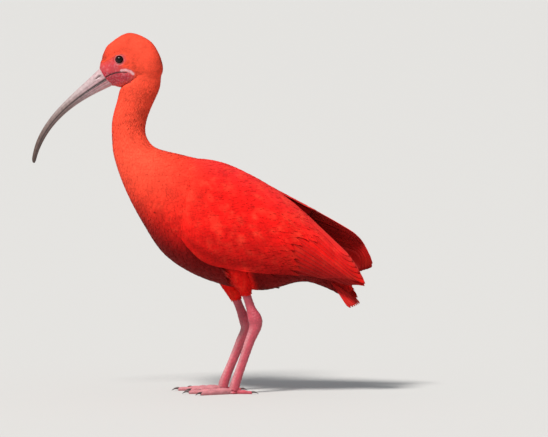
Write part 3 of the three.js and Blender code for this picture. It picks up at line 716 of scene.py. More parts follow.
def head_grid():
    t = np.concatenate([np.linspace(0, 0.62, 150), np.linspace(0.64, 1, 24)])
    angle = np.linspace(0, 2 * math.pi, 181)[:-1]
    tt, aa = crossed(t, angle)
    step = 1e-3
    flat = head_surface(tt, aa)
    along = head_surface(np.minimum(tt + step, 1), aa) - head_surface(np.maximum(tt - step, 0), aa)
    around = head_surface(tt, aa + step) - head_surface(tt, aa - step)
    normal = unit(np.cross(along, around))
    outwards = flat - flat.mean(axis=1, keepdims=True)
    normal = normal * np.sign((normal * outwards).sum(-1, keepdims=True))
    x, z = flat[..., 0], flat[..., 2]
    bare = bareness(flat.reshape(-1, 3)).reshape(x.shape)
    depth = -HEAD_COAT * smooth(0, -5, inside(x, z, FACE_OUTLINE))
    crease = np.exp(-((from_line(x, z, GAPE_LINE) / 0.55) ** 2))
    throat = bare * smooth(399.5, 397, z + 0.12 * (x + 105))
    cells = grains(flat.reshape(-1, 3)).reshape(x.shape)
    wrinkle = value_noise(flat.reshape(-1, 3) * (1, 1, 1.6), 3.0).reshape(x.shape)
    depth = depth - 1.1 * crease + throat * (0.55 - 1.0 * cells) + 0.2 * bare * wrinkle
    points = flat + normal * depth[..., None]
    ring = np.hypot(x - EYE["x"], z - EYE["z"])
    ball = EYE["out"] + np.sqrt(np.clip(EYE["radius"] ** 2 - ring**2, 0, None))
    reach = np.abs(points[..., 1])
    turned = LID["out"] + (x - EYE["x"]) * math.tan(LID["turn"])
    lid = EYE["out"] + turned
    lidded = np.where(ring < LID["radius"], ball - 1.2, lerp(lid, reach, smooth(5.8, 8.0, ring)))
    near = (ring < 8.0) & (reach > 6)
    points[..., 1] = np.where(near, np.sign(points[..., 1]) * lidded, points[..., 1])
    return points, t


def lid_ring(name, side):
    """The rim of the eyelids, a ring that faces a little forward."""
    steps, sides = 84, 16
    turn, around = turns(steps), turns(sides)
    radius = LID["radius"] + LID["thickness"] * np.cos(around)
    x = radius * np.cos(turn)[:, None]
    z = radius * np.sin(turn)[:, None] * 0.96
    y = LID["thickness"] * np.sin(around) + np.zeros_like(x)
    cos, sin = math.cos(LID["turn"]), math.sin(LID["turn"])
    grid = np.stack([x * cos - y * sin, side * (x * sin + y * cos), z], -1)
    grid = grid + (EYE["x"], side * (EYE["out"] + LID["out"]), EYE["z"])
    i, j = crossed(np.arange(steps), np.arange(sides))
    after, beside = (i + 1) % steps * sides, (j + 1) % sides
    faces = np.stack([i * sides + j, i * sides + beside, after + beside, after + j], -1).reshape(-1, 4)
    if side > 0:
        faces = faces[:, ::-1]
    place = np.full((len(faces) * 4, 2), BLOCKS["head"][:2])
    return mesh_object(name, grid.reshape(-1, 3), faces, place)


# Bill


def bill_frame(shares):
    steps = 60
    middle = (np.arange(steps) + 0.5) / steps
    u = shares[:, None] * middle
    heading = np.radians(BILL_DIP + BILL_CURL * np.maximum(u, 0) ** 2)
    x = BILL_ROOT[0] - (np.cos(heading) * shares[:, None] * BILL_LENGTH / steps).sum(axis=1)
    z = BILL_ROOT[1] - (np.sin(heading) * shares[:, None] * BILL_LENGTH / steps).sum(axis=1)
    angle = np.radians(BILL_DIP + BILL_CURL * np.maximum(shares, 0) ** 2)
    point = np.stack([x, np.zeros_like(x), z], -1)
    up = np.stack([-np.sin(angle), np.zeros_like(angle), np.cos(angle)], -1)
    return point, up


def mandible(direction, heights):
    """One half of the bill as half rings, the upper one for direction 1, the lower one for -1."""
    end = 0.93 + 0.062 * np.linspace(0.03, 1, 16) ** 0.6
    shares = np.concatenate([np.linspace(-0.07, 0.93, 170), end])
    point, up = bill_frame(shares)
    tip = np.sqrt(np.clip(1 - (np.maximum(shares - 0.95, 0) / 0.0455) ** 2, 0.0004, 1))[:, None]
    angle = np.linspace(0, math.pi, 41)[None]
    s = shares[:, None]
    lift = np.sin(angle) ** 0.9
    groove_at = 0.30 if direction > 0 else 0.42
    groove = np.exp(-(((lift - groove_at - 0.25 * s) / 0.05) ** 2))
    groove = groove * smooth(0.0, 0.05, s) * smooth(0.95, 0.7, s)
    rise = BILL_GAP + heights(shares)[:, None] * tip * lift
    width = curve(BILL_HALF_WIDTH)(shares)[:, None] * tip
    slot = np.zeros_like(rise)
    if direction > 0:
        ahead = (s - NOSTRIL["at"]) * BILL_LENGTH / (NOSTRIL["length"] / 2)
        slot = smooth(1.15, 0.6, np.hypot(ahead, (rise - NOSTRIL["up"]) / NOSTRIL["height"]))
    inward = 1 - (0.09 * groove + 0.34 * slot)
    ridges = 1 + 0.012 * np.sin(s * 150 + 2 * np.sin(s * 37)) * smooth(0.3, 0.0, s)
    arc = point[:, None] + up[:, None] * (direction * rise)[..., None]
    arc[..., 1] = width * np.cos(angle) * inward * ridges
    return arc, shares


# The skin: one surface for head, neck, torso, thighs, legs and feet

BLOCKS = {
    "body": (0.0, 0.0, 0.5, 1.0),
    "head": (0.5, 0.5, 0.25, 0.5),
    "thigh_left": (0.75, 0.5, 0.12, 0.2),
    "thigh_right": (0.88, 0.5, 0.12, 0.2),
    "wing_left": (0.5, 0.0, 0.245, 0.49),
    "wing_right": (0.75, 0.0, 0.245, 0.49),
    "leg_left": (0.75, 0.72, 0.06, 0.28),
    "leg_right": (0.82, 0.72, 0.06, 0.28),
    "toes": (0.89, 0.72, 0.05, 0.28),
    "tail": (0.95, 0.72, 0.05, 0.28),
}
SKIN_PARTS = ["body", "head", "thigh", "leg"]


def thigh_rings(leg):
    """Rings of a thigh's skin, from the knee to the top of the shank."""
    thigh, shank = leg_points(leg)[:2]
    radius, coat = curve(THIGH_RADII), curve(THIGH_COAT)
    shares = np.linspace(0, 1, 30)

    def path(share):
        return thigh + (shank - thigh) * np.asarray(share)[:, None]

    def reach(share):
        return radius(share) - coat(share)

    return path_rings(path, shares, 36, reach, reach), shares


def leg_pieces(word, leg):
    """Closed meshes of one leg: thigh, scaled leg, toes and the ball of the foot."""
    rings, shares = thigh_rings(leg)
    pieces = [("thigh", tube(f"thigh_skin_{word}", rings, shares, BLOCKS[f"thigh_{word}"]))]
    shares = np.linspace(0, 1, 300)
    rings = path_rings(leg_path(leg), shares, 40, curve(LEG_FORE), curve(LEG_SIDE), leg_relief)
    thigh, shank = leg_points(leg)[:2]
    inner = rings[:1] + (thigh - shank) * 0.35
    rings, shares = np.concatenate([inner, rings]), np.concatenate([[0], shares])
    pieces.append(("leg", tube(f"leg_skin_{word}", rings, shares, BLOCKS[f"leg_{word}"])))
    for name, toe in TOES.items():
        rings, pad = toe_rings(leg, toe)[:2]
        shares = np.linspace(0, 1, len(rings))
        pieces.append(("leg", tube(f"toe_{word}_{name}", rings, shares, BLOCKS["toes"])))
    turn = turns(28)
    rise = np.linspace(0.02, 5.5, 12)
    wide = PAD_RADIUS * np.sqrt(np.clip(1 - (rise / 6.2) ** 2, 0, 1)) * smooth(-1.4, 1.2, rise)
    x, y = pad[0] + wide[:, None] * np.cos(turn), pad[1] + wide[:, None] * np.sin(turn)
    ball = np.stack([x, y, np.repeat(rise[:, None], 28, axis=1)], -1)
    pieces.append(("leg", tube(f"pad_{word}", ball, rise / 6, BLOCKS["toes"])))
    return pieces


def build_skin():
    t = np.linspace(0, 1, 120)
    angle = np.linspace(0, 2 * math.pi, 81)[:-1]
    tt, aa = crossed(t, angle)
    coat = curve(BODY_COAT)
    pieces = [("body", tube("skin", body_surface(tt, aa, -coat(tt)), t, BLOCKS["body"]))]
    head, rows = head_grid()
    pieces.append(("head", tube("head_skin", head, rows, BLOCKS["head"])))
    for side in (-1, 1):
        pieces.append(("head", lid_ring(f"lid_{side}", side)))
    for word, leg in LEGS.items():
        pieces += leg_pieces(word, leg)
    return joined(pieces)


def joined(pieces):
    """Unites closed meshes into the first. Each face keeps the slot of the part that it comes from."""
    slots = [bpy.data.materials.new(part) for part in SKIN_PARTS]
    for part, piece in pieces:
        for material in slots:
            piece.data.materials.append(material)
        slot = np.full(len(piece.data.polygons), SKIN_PARTS.index(part), np.int32)
        piece.data.polygons.foreach_set("material_index", slot)
    whole = pieces[0][1]
    for _, piece in pieces[1:]:
        union = whole.modifiers.new("union", "BOOLEAN")
        union.operation = "UNION"
        union.solver = "MANIFOLD"
        union.object = piece
    graph = bpy.context.evaluated_depsgraph_get()
    mesh = bpy.data.meshes.new_from_object(whole.evaluated_get(graph))
    whole.modifiers.clear()
    whole.data = mesh
    for _, piece in pieces[1:]:
        bpy.data.objects.remove(piece)
    mesh.shade_smooth()
    soften(mesh, 600)
    return whole


def soften(mesh, rounds):
    """Smooths the skin where the head passes into the neck, without shrinking it."""
    points = mesh_points(mesh)
    a, b = fetched(mesh.edges, "vertices", 2, np.int32).T
    inner = inside(points[:, 0], points[:, 2], JOIN_OUTLINE)
    weight = smooth(-3, 7, inner) * (1 - bareness(points))
    used = (weight[a] > 0) | (weight[b] > 0)
    a, b = a[used], b[used]
    count = np.maximum(np.bincount(a, minlength=len(points)) + np.bincount(b, minlength=len(points)), 1)
    for i in range(rounds):
        share = 0.5 if i % 2 == 0 else -0.51
        for axis in range(3):
            line = points[:, axis]
            total = np.bincount(a, line[b], len(line)) + np.bincount(b, line[a], len(line))
            points[:, axis] = line + (total / count - line) * share * weight
    mesh.vertices.foreach_set("co", metres(points).astype(np.float32).ravel())
    mesh.update()


def skin_triangles(mesh):
    """Triangles of a mesh: corner points and normals in millimetres, unwrap places, slot index."""
    mesh.calc_loop_triangles()
    corner = fetched(mesh.loop_triangles, "loops", 3, np.int32)
    vertex = fetched(mesh.loop_triangles, "vertices", 3, np.int32)
    polygon = fetched(mesh.loop_triangles, "polygon_index", 1, np.int32)
    slot = fetched(mesh.polygons, "material_index", 1, np.int32)
    normals = fetched(mesh.vertices, "normal", 3)
    uv = fetched(mesh.uv_layers[0].data, "uv", 2)
    return mesh_points(mesh)[vertex], normals[vertex], uv[corner], slot[polygon]


def scattered(triangles, part):
    """Random places on a part of the skin: points, normals and places in the unwrap."""
    of_part = triangles[3] == SKIN_PARTS.index(part)
    points, normals, uv = (a[of_part] for a in triangles[:3])
    areas = np.linalg.norm(np.cross(points[:, 1] - points[:, 0], points[:, 2] - points[:, 0]), axis=1) / 2
    count = int(areas.sum() * SCATTER[part])
    chosen = rng.choice(len(areas), count, p=areas / areas.sum())
    a, b = rng.random((2, count))
    flip = a + b > 1
    a, b = np.where(flip, 1 - a, a), np.where(flip, 1 - b, b)
    share = np.stack([1 - a - b, a, b], -1)[..., None]
    points, normals, places = ((a[chosen] * share).sum(axis=1) for a in (points, normals, uv))
    return points, unit(normals), places


# Coat on the skin

LENGTHS = curve([5.6, 6.4, 7.6, 8.8, 10, 11.5, 13, 15, 17, 19, 21, 22, 21, 19])
WIDTHS = curve([2.0, 2.2, 2.5, 2.8, 3.3, 3.9, 4.7, 5.4, 6.0, 6.5, 6.9, 7, 6.6, 6])
SCATTER = {"body": 1.6, "head": 5, "thigh": 1.5}  # places tried on a square millimetre
SPACING = {"body": 0.26, "head": 0.40, "thigh": 0.3, "coverts": 0.25}  # shares of a feather's size
COVERTS_TRIED = 90000
THIGH_SHORTER = 0.62  # how much shorter the feathers of the body are beside the thighs
HEAD_VANE = (4, 5, 0.10, 0.5)  # rows, columns, fraying and pointedness of a vane
NECK_VANE = (5, 7, 0.12, 0.45)
BODY_VANE = (5, 9, 0.09, 0.15)
BODY_PIECES = [
    # name, from and to along the body, kind of vane
    ("coat_neck_high", 0.0, 0.17, NECK_VANE), ("coat_neck_low", 0.17, 0.34, NECK_VANE),
    ("coat_breast", 0.34, 0.52, BODY_VANE), ("coat_body", 0.52, 0.68, BODY_VANE),
    ("coat_rear", 0.68, 1.0, BODY_VANE),
]


def unwrapped(places, block):
    left, bottom, width, height = BLOCKS[block]
    return (places - (left, bottom)) / (width, height)


def tangent(directions, normals):
    return unit(directions - (directions * normals).sum(-1, keepdims=True) * normals)


def under_wings(points, depth):
    """True for points of the body that lie deeper than this under a folded wing's outer face."""
    hidden = np.zeros(len(points), bool)
    t, v = crossed(np.linspace(0, WING_CORE_END, 160), np.linspace(0, 1, 100))
    t, v = t.ravel(), v.ravel()
    for side in (-1, 1):
        wing = wing_surface(side)(t, v, wing_edge(t, v))
        tree = kdtree.KDTree(len(wing))
        for i, (x, _, z) in enumerate(wing):
            tree.insert((x, 0, z), i)
        tree.balance()
        for i in np.flatnonzero(points[:, 1] * side > 4):
            x, y, z = points[i]
            _, j, far = tree.find((x, 0, z))
            hidden[i] = far < 1.8 and wing[j, 1] * side - y * side > depth
    return hidden


def coat_piece(name, surface, points, normals, places, lie, length, width, depth, kind, sway=0.14):
    count = len(points)
    turn = rng.normal(0, sway, count)
    lie = rotated(tangent(lie, normals), normals, turn)
    length = length * rng.uniform(0.8, 1.15, count)
    width = width * rng.uniform(0.85, 1.12, count)
    depth = depth - rng.uniform(0, 0.05, count) * np.minimum(depth, 3)
    shade = rng.uniform(0.93, 1.05, count)
    return small_feathers(name, surface, points, normals, lie, length, width, depth, places, shade, kind)


def dress_body(triangles, surface):
    points, normals, places = scattered(triangles, "body")
    place = unwrapped(places, "body")
    t, angle = np.clip(place[:, 1], 0, 1), place[:, 0] * 2 * math.pi
    short = 1 - THIGH_SHORTER * thigh_nearness(points, 32, 17)
    length, width = LENGTHS(t) * short, WIDTHS(t) * short
    wanted = ~under_wings(points, 12) & (t > 0.02) & (t < 0.985) & (bareness(points) < 0.3)
    kept = thinned(points, SPACING["body"] * np.sqrt(length * width), wanted)
    fields = (points, normals, places, t, angle, length, width)
    points, normals, places, t, angle, length, width = (a[kept] for a in fields)
    ahead = body_surface(np.minimum(t + 0.004, 1), angle) - body_surface(np.maximum(t - 0.004, 0), angle)
    fields = (points, normals, places, ahead, length, width, curve(BODY_COAT)(t))
    made = []
    for name, start, end, kind in BODY_PIECES:
        part = (t >= start) & (t < end)
        made.append(coat_piece(name, surface, *(a[part] for a in fields), kind))
    return made


def dress_head(triangles, surface):
    points, normals, places = scattered(triangles, "head")
    edge = smooth(0, -16, inside(points[:, 0], points[:, 2], FACE_OUTLINE))
    length, width = 2.2 + 3.2 * edge, 1.1 + 1.1 * edge
    kept = thinned(points, SPACING["head"] * width, bareness(points) < 0.5)
    points, normals, places, length, width = (a[kept] for a in (points, normals, places, length, width))
    x, z = points[:, 0], points[:, 2]
    turned = smooth(-104, -70, x) * smooth(446, 415, z)
    lie = mix(np.array([1.0, 0, 0.0]), np.array([0.25, 0, -1.0]), turned)
    lie = lie + np.array([0, 0, 0.5]) * (smooth(-100, -125, x) * smooth(418, 430, z))[:, None]
    depth = lerp(0.3, HEAD_COAT - 0.05, smooth(0, -5, inside(x, z, FACE_OUTLINE)))
    fields = (points, normals, places, lie, length, width, depth)
    return [coat_piece("coat_head", surface, *fields, HEAD_VANE, 0.1)]


def dress_thighs(triangles, surface):
    points, normals, places = scattered(triangles, "thigh")
    made = []
    for word, leg in LEGS.items():
        thigh, shank = leg_points(leg)[:2]
        wanted = (points[:, 1] * leg["side"] > 0) & (points[:, 2] > shank[2] - 1)
        share = np.clip((thigh[2] - points[:, 2]) / (thigh[2] - shank[2]), 0, 1)
        length, width = lerp(11.0, 5.5, share), lerp(4.4, 2.3, share)
        kept = thinned(points, SPACING["thigh"] * np.sqrt(length * width), wanted)
        lie = np.tile(unit(shank - thigh), (len(points), 1))
        fields = (points, normals, places, lie, length, width, curve(THIGH_COAT)(share))
        made.append(coat_piece(f"coat_thigh_{word}", surface, *(a[kept] for a in fields), NECK_VANE))
    return made


# Wing and tail feathers

LONG_VANE = (26, 9)  # rows and columns
VANE_THICKNESS = 0.35
UNDERSIDE_SHADE = 0.62


def closed_vane(rows, columns):
    """Faces of one vane with an upper side, a lower side and a rim between them."""
    per = rows * columns
    upper = quads(rows, columns)
    first, last = np.arange(columns), (rows - 1) * columns + np.arange(columns - 2, -1, -1)
    right, left = np.arange(1, rows) * columns + columns - 1, np.arange(rows - 2, 0, -1) * columns
    rim = np.concatenate([first, right, last, left])
    after = np.roll(rim, -1)
    sides = np.stack([rim, rim + per, after + per, after], -1)
    return np.concatenate([upper, upper[:, ::-1] + per, sides])


def long_vanes(name, at, block, roots, tips, half, heights, tilt, strength, widen=0.0, rim=None):
    """Long feathers as thin closed vanes on a surface, root and tip given as its two shares."""
    rows, columns = LONG_VANE
    s, c = crossed(np.linspace(0, 1, rows) ** 0.8, np.linspace(-1, 1, columns))
    s, c = s.ravel(), c.ravel()
    count = len(roots)
    closing = np.sqrt(np.clip(1 - (np.maximum(s - 0.87, 0) / 0.137) ** 2, 0, 1))
    shape = (0.5 + 0.5 * smooth(0, 0.45, s)) * closing
    place = s - 0.018 * s * c * c
    t = roots[:, :1] + (tips - roots)[:, :1] * place
    v = roots[:, 1:] + (tips - roots)[:, 1:] * place
    v = np.clip(v + half * c * shape * (1 + widen * smooth(0.6, 1.0, t)), -0.02, 1.02)
    rachis = 0.25 * np.exp(-((c / 0.1) ** 2)) * (1 - 0.6 * s)
    height = heights[:, :1] + (heights[:, 1:] - heights[:, :1]) * s
    height = height + np.reshape(tilt, (-1, 1)) * c * (0.4 + 0.6 * s) + rachis
    height = height + 0.10 * np.sin(s * 9 + 6.28 * rng.random((count, 1))) * c**2
    if rim:
        height = height + rim(t, v)
    top, low = at(t, v, height), at(t, v, height - VANE_THICKNESS)
    out = unit(at(t, v, height + 1) - top)
    points = np.concatenate([top, low], axis=1).reshape(-1, 3)
    normals = np.concatenate([out, out], axis=1).reshape(-1, 3)
    s, c = np.tile(s, 2), np.tile(c, 2)
    faces = closed_vane(rows, columns)
    share = np.stack([(c + 1) / 2, s], -1)[faces]
    faces = (faces[None] + (np.arange(count) * len(s))[:, None, None]).reshape(-1, 4)
    corners = wrapped(block, roots[:, 1], roots[:, 0])[:, None, None] + (share[None] - 0.5) * PATCH
    colour = vane_colour(s, c, points, normals, strength)
    vane = np.tile(share.reshape(-1, 2), (count, 1))
    return mesh_object(name, points, faces, corners.reshape(-1, 2), colour, vane)


def vane_colour(s, c, points, normals, strength):
    """The plumage's colours on long feathers, paler along shaft and edges, darker towards the root as
    painted shade, and duller underneath.
    """
    count = len(points) // len(s)
    # Random tone per feather, and painted shade: darker towards the root.
    shade = rng.uniform(0.86, 1.08, count)[:, None] * (0.8 + 0.2 * smooth(0, 0.6, s)) * strength
    shade = shade * np.repeat((1.0, UNDERSIDE_SHADE), len(s) // 2)
    colour = plumage_colour(points, normals).reshape(count, len(s), 3)
    pale = 0.15 * np.exp(-((c / 0.12) ** 2)) + 0.25 * smooth(0.8, 1.0, np.abs(c))
    return (mix(colour, ROSE, pale) * shade[..., None]).reshape(-1, 3)


FLIGHT = [
    # name, count, first and last root, first and last tip, half width, heights of root and tip,
    # how far the first lies above and the last below them, brightness
    ("primaries", 5, (0.5, 0.42), (0.5, 0.8), (0.985, 0.55), (0.93, 0.84), 0.12, (-2.4, -2.2), 0.5, 0.85),
    ("secondaries", 9, (0.42, 0.5), (0.36, 0.96), (0.95, 0.55), (0.76, 0.97), 0.10, (-1.6, -0.9), 0.5, 1),
    ("tertials", 6, (0.42, 0.06), (0.40, 0.5), (0.84, 0.14), (0.975, 0.45), 0.10, (-0.8, 0.5), 0.5, 1),
    ("scapulars", 8, (0.30, 0.04), (0.34, 0.36), (0.60, 0.03), (0.64, 0.32), 0.045, (-3.4, 0.5), 0, 1),
]


def shared_out(first, last, count):
    share = np.linspace(0, 1, count)[:, None]
    return np.asarray(first) * (1 - share) + np.asarray(last) * share


def wing_core(name, at, block):
    """What lies under the coverts, in painted shade: dim scarlet, and crimson on its inner side and
    towards its end.
    """
    rows, v = np.linspace(0, WING_CORE_END, 60), np.linspace(0, 1, 40)
    tt, vv = crossed(rows, v)
    edge = wing_edge(tt, vv)
    top, bottom = at(tt, vv, edge - WING_COAT), at(tt, vv, edge - wing_depth(tt))
    core = tube(name, np.concatenate([top, bottom[:, ::-1]], axis=1), rows, BLOCKS[block])
    inner = np.tile(np.repeat((0, 1), len(v)), len(rows))
    # Painted shade: darkest on the inner side and towards the end.
    dark = np.maximum(smooth(0.35, 0.5, np.repeat(rows, 2 * len(v))), inner)
    dark = np.concatenate([dark, [0, 1]])
    set_colour(core.data, mix(np.array(SCARLET) * 0.7, np.array(CRIMSON) * 1.5, dark))
    return core


def wing_pieces(word, side):
    at = wing_surface(side)
    block = f"wing_{word}"
    made = [wing_core(f"wing_core_{word}", at, block)]
    for kind, count, first_root, last_root, first_tip, last_tip, half, heights, spread, strength in FLIGHT:
        roots, tips = shared_out(first_root, last_root, count), shared_out(first_tip, last_tip, count)
        lift = np.tile(np.array(heights, float), (count, 1))
        lift = lift + np.linspace(spread, -spread, count)[:, None]
        ends = (block, roots, tips, half, lift, 0.35, strength)
        made.append(long_vanes(f"{kind}_{word}", at, *ends, 1.8, wing_edge))
    made.append(coverts(f"coverts_{word}", at, block, side))
    return made


def wing_edge(t, v):
    """How far the wing is drawn in at the shoulder and along its upper and lower edges."""
    front = 9 * (1 - smooth(0, 0.1, t))
    rim = np.minimum(v, 1 - v)
    return -front - 2.5 * (1 - smooth(0, 0.08, rim)) * (1 - smooth(0.3, 0.6, t))


def coverts(name, at, block, side):
    """Small wing feathers, scattered evenly and growing larger towards the flight feathers."""
    count = COVERTS_TRIED
    t, v = rng.uniform(-0.02, COVERTS_END, count), rng.uniform(-0.06, 1.02, count)
    t = np.maximum(t, 0.004)
    points = at(t, v)
    length = lerp(12.0, 30.0, smooth(0.05, 0.55, t)) * lerp(1.0, 0.65, smooth(0.8, 1.0, v))
    width = length * lerp(0.40, 0.36, smooth(0, 0.5, t))
    ragged = 0.05 * np.sin(v * 7) + rng.normal(0, 0.02, count)
    wanted = t < COVERTS_END - 0.08 + ragged
    kept = thinned(points, SPACING["coverts"] * np.sqrt(length * width), wanted)
    t, v, points, length, width = (a[kept] for a in (t, v, points, length, width))
    step = 0.002
    along = (at(t + step, v) - at(t - step, v)) / (2 * step)
    across = (at(t, v + step) - at(t, v - step)) / (2 * step)
    slope = rng.normal(0, 0.1, len(t)) + lerp(0.0, 0.22, v)
    go, reach = np.linalg.norm(along, axis=1), np.linalg.norm(across, axis=1)
    rows, columns = 5, 9
    place, broad, s = (a.ravel() for a in template(rows, columns, 0.07, 0.1))
    a = length[:, None] * place * (1 + rng.normal(0, 0.025, (len(t), len(s))) * (s == 1))
    b = width[:, None] / 2 * broad
    cos, sin = np.cos(slope)[:, None], np.sin(slope)[:, None]
    tt = t[:, None] + (a * cos - b * sin) / go[:, None]
    vv = np.clip(v[:, None] + (a * sin + b * cos) / reach[:, None], -0.08, 1.03)
    edge = wing_edge(tt, vv)
    top = WING_COAT * rng.uniform(0.98, 1.02, len(t))[:, None] - 0.7 * (1 - s)
    lift = lerp(WING_COAT - ROOT_DEPTH, top, smooth(-0.05, 0.33, s))
    height = edge - WING_COAT - 0.2 + lift - 0.04 * width[:, None] * broad**2 + 0.9 * smooth(0.2, 0.5, tt)
    vanes = at(tt.ravel(), vv.ravel(), height.ravel())
    pale = value_noise(vanes, 12.0, 3.0) + 0.5 * value_noise(vanes, 5.0, 13.0)
    pale = smooth(0.05, 0.75, pale).reshape(tt.shape) * smooth(0.05, 0.25, vv) * smooth(1.0, 0.7, vv)
    normals = unit(np.cross(along, across)) * side
    normals = normals * np.sign((normals * (points - (0, 0, 200))).sum(-1, keepdims=True))
    colour = plumage_colour(vanes, np.repeat(normals, len(s), axis=0)).reshape(len(t), len(s), 3)
    colour = mix(colour, np.array(ORANGE), 0.3 * pale)
    # Random tone per feather, and painted shade: darker towards the root.
    shade = rng.uniform(0.93, 1.05, len(t))[:, None] * (0.84 + 0.16 * smooth(0, 0.8, s))
    colour = (colour * shade[..., None]).reshape(-1, 3)
    places = wrapped(block, np.clip(v, 0, 1), t)
    return vane_mesh(name, vanes.reshape(len(t), -1, 3), (rows, columns), places, colour)


def tail_feathers():
    u = (np.arange(TAIL_FEATHERS) + 0.5) / TAIL_FEATHERS
    outward = 2 * u - 1
    lift = 1.2 * (1 - np.abs(outward))
    heights = np.stack([lift - 1, lift], -1)
    roots = np.stack([np.full_like(u, 0.05), u], -1)
    tips = np.stack([np.ones_like(u), u], -1)
    tilt = 0.3 * np.sign(outward)
    return long_vanes("tail_feathers", tail_surface(), "tail", roots, tips, 0.115, heights, tilt, 0.8)


# Materials


class Nodes:
    """Short ways to add shader nodes to a material."""

    def __init__(self, name):
        self.material = bpy.data.materials.new(name)
        self.material.use_nodes = True
        self.tree = self.material.node_tree
        self.shader = self.tree.nodes["Principled BSDF"]

    def put(self, socket, value):
        if isinstance(value, bpy.types.NodeSocket):
            self.tree.links.new(value, socket)
        else:
            socket.default_value = value

    def fill(self, node, inputs):
        for key, value in inputs.items():
            self.put(node.inputs[key.replace("_", " ")], value)

    def add(self, kind, settings=None, **inputs):
        node = self.tree.nodes.new("ShaderNode" + kind)
        for key, value in (settings or {}).items():
            setattr(node, key, value)
        self.fill(node, inputs)
        return node

    def shade(self, **inputs):
        self.fill(self.shader, inputs)

    def maths(self, operation, a, b=0.0):
        node = self.add("Math", {"operation": operation})
        self.put(node.inputs[0], a)
        self.put(node.inputs[1], b)
        return node.outputs[0]

    def noise(self, scale, detail=3.0):
        where = self.add("TexCoord").outputs["Object"]
        return self.add("TexNoise", None, Scale=scale, Detail=detail, Vector=where).outputs["Fac"]

    def between(self, value, low, high, to_low, to_high):
        ends = {"From_Min": low, "From_Max": high, "To_Min": to_low, "To_Max": to_high}
        return self.add("MapRange", None, Value=value, **ends).outputs[0]

    def tinted(self, factor):
        """The mesh's own colour times a factor."""
        node = self.add("VectorMath", {"operation": "SCALE"}, Scale=factor)
        tint = self.add("Attribute", {"attribute_name": "tint"}).outputs["Color"]
        self.tree.links.new(tint, node.inputs[0])
        return node.outputs[0]

    def bump(self, height, strength, distance):
        node = self.add("Bump", None, Strength=strength, Distance=distance, Height=height)
        self.shade(Normal=node.outputs[0])


def plumage_material():
    made = Nodes("plumage")
    uv = made.add("UVMap", {"uv_map": "Vane"}).outputs[0]
    parts = made.add("SeparateXYZ", None, Vector=uv)
    off = made.maths("ABSOLUTE", made.maths("SUBTRACT", parts.outputs["X"], 0.5))
    along = made.maths("MULTIPLY", parts.outputs["Y"], 30.0)
    slant = made.maths("SUBTRACT", along, made.maths("MULTIPLY", off, 22.0))
    barbs = made.maths("SINE", made.maths("MULTIPLY", slant, 6.283))
    tone = made.between(made.noise(55.0, 4.0), 0.3, 0.7, 0.86, 1.1)
    fine = made.between(made.noise(420.0, 2.0), 0.3, 0.7, 0.9, 1.08)
    lines = made.between(barbs, -1.0, 1.0, 0.94, 1.03)
    factor = made.maths("MULTIPLY", made.maths("MULTIPLY", tone, fine), lines)
    made.shade(Base_Color=made.tinted(factor), Roughness=0.7, Specular_IOR_Level=0.08)
    made.shade(Sheen_Weight=0.08, Sheen_Roughness=0.5, Sheen_Tint=(1.0, 0.3, 0.22, 1.0))
    made.bump(barbs, 0.25, 0.0002)
    return made.material


def flesh_material(name, scale, depth, pale=1.08, dark=0.78):
    made = Nodes(name)
    tone = made.between(made.noise(120.0, 4.0), 0.3, 0.7, 0.85, 1.12)
    cells = made.add("TexVoronoi", None, Scale=scale).outputs["Distance"]
    seams = made.between(cells, 0.1, 0.6, pale, dark)
    made.shade(Base_Color=made.tinted(made.maths("MULTIPLY", tone, seams)), Roughness=0.42)
    made.shade(Subsurface_Weight=0.12, Subsurface_Radius=(0.004, 0.0015, 0.001))
    made.bump(made.maths("MULTIPLY", cells, -1.0), 0.5, depth)
    return made.material


def horn_material(name, roughness):
    made = Nodes(name)
    streaks = made.noise(260.0, 5.0)
    rough = made.between(streaks, 0.3, 0.7, roughness, roughness + 0.15)
    made.shade(Base_Color=made.tinted(made.between(streaks, 0.3, 0.7, 0.78, 1.18)), Roughness=rough)
    made.bump(streaks, 0.35, 0.0003)
    return made.material


def eye_material():
    made = Nodes("eye")
    flecks = made.between(made.noise(900.0, 3.0), 0.35, 0.65, 0.7, 1.3)
    made.shade(Base_Color=made.tinted(flecks), Roughness=0.09, Specular_IOR_Level=0.25)
    return made.material


def floor_material():
    made = Nodes("floor")
    made.shade(Base_Color=(0.56, 0.555, 0.545, 1.0), Roughness=0.85)
    return made.material


MATERIALS = {
    "plumage": plumage_material(),
    "flesh": flesh_material("flesh", 1400.0, 0.0002),
    "leg": flesh_material("leg_skin", 700.0, 0.0004, 1.3, 0.6),
    "horn": horn_material("bill_horn", 0.38),
    "claw": horn_material("claw_horn", 0.35),
    "eye": eye_material(),
}


# Put together


def leg_colour(points):
    x, z = points[:, 0], points[:, 2]
    colour = np.tile(np.array(LEG_ROSE), (len(points), 1))
    front = np.full(len(points), -1e3)
    for leg in LEGS.values():
        path = leg_path(leg)(np.linspace(0, 1, 200))
        order = np.argsort(path[:, 2])
        centre = np.interp(z, path[order, 2], path[order, 0])
        own = points[:, 1] * leg["side"] > 0
        front = np.where(own, centre - x, front)
    # Painted highlight: the front of the lower leg is paler.
    pale = smooth(0.5, 4.5, front) * smooth(92, 70, z)
    return mix(colour, LEG_HIGHLIGHT, 0.55 * pale)


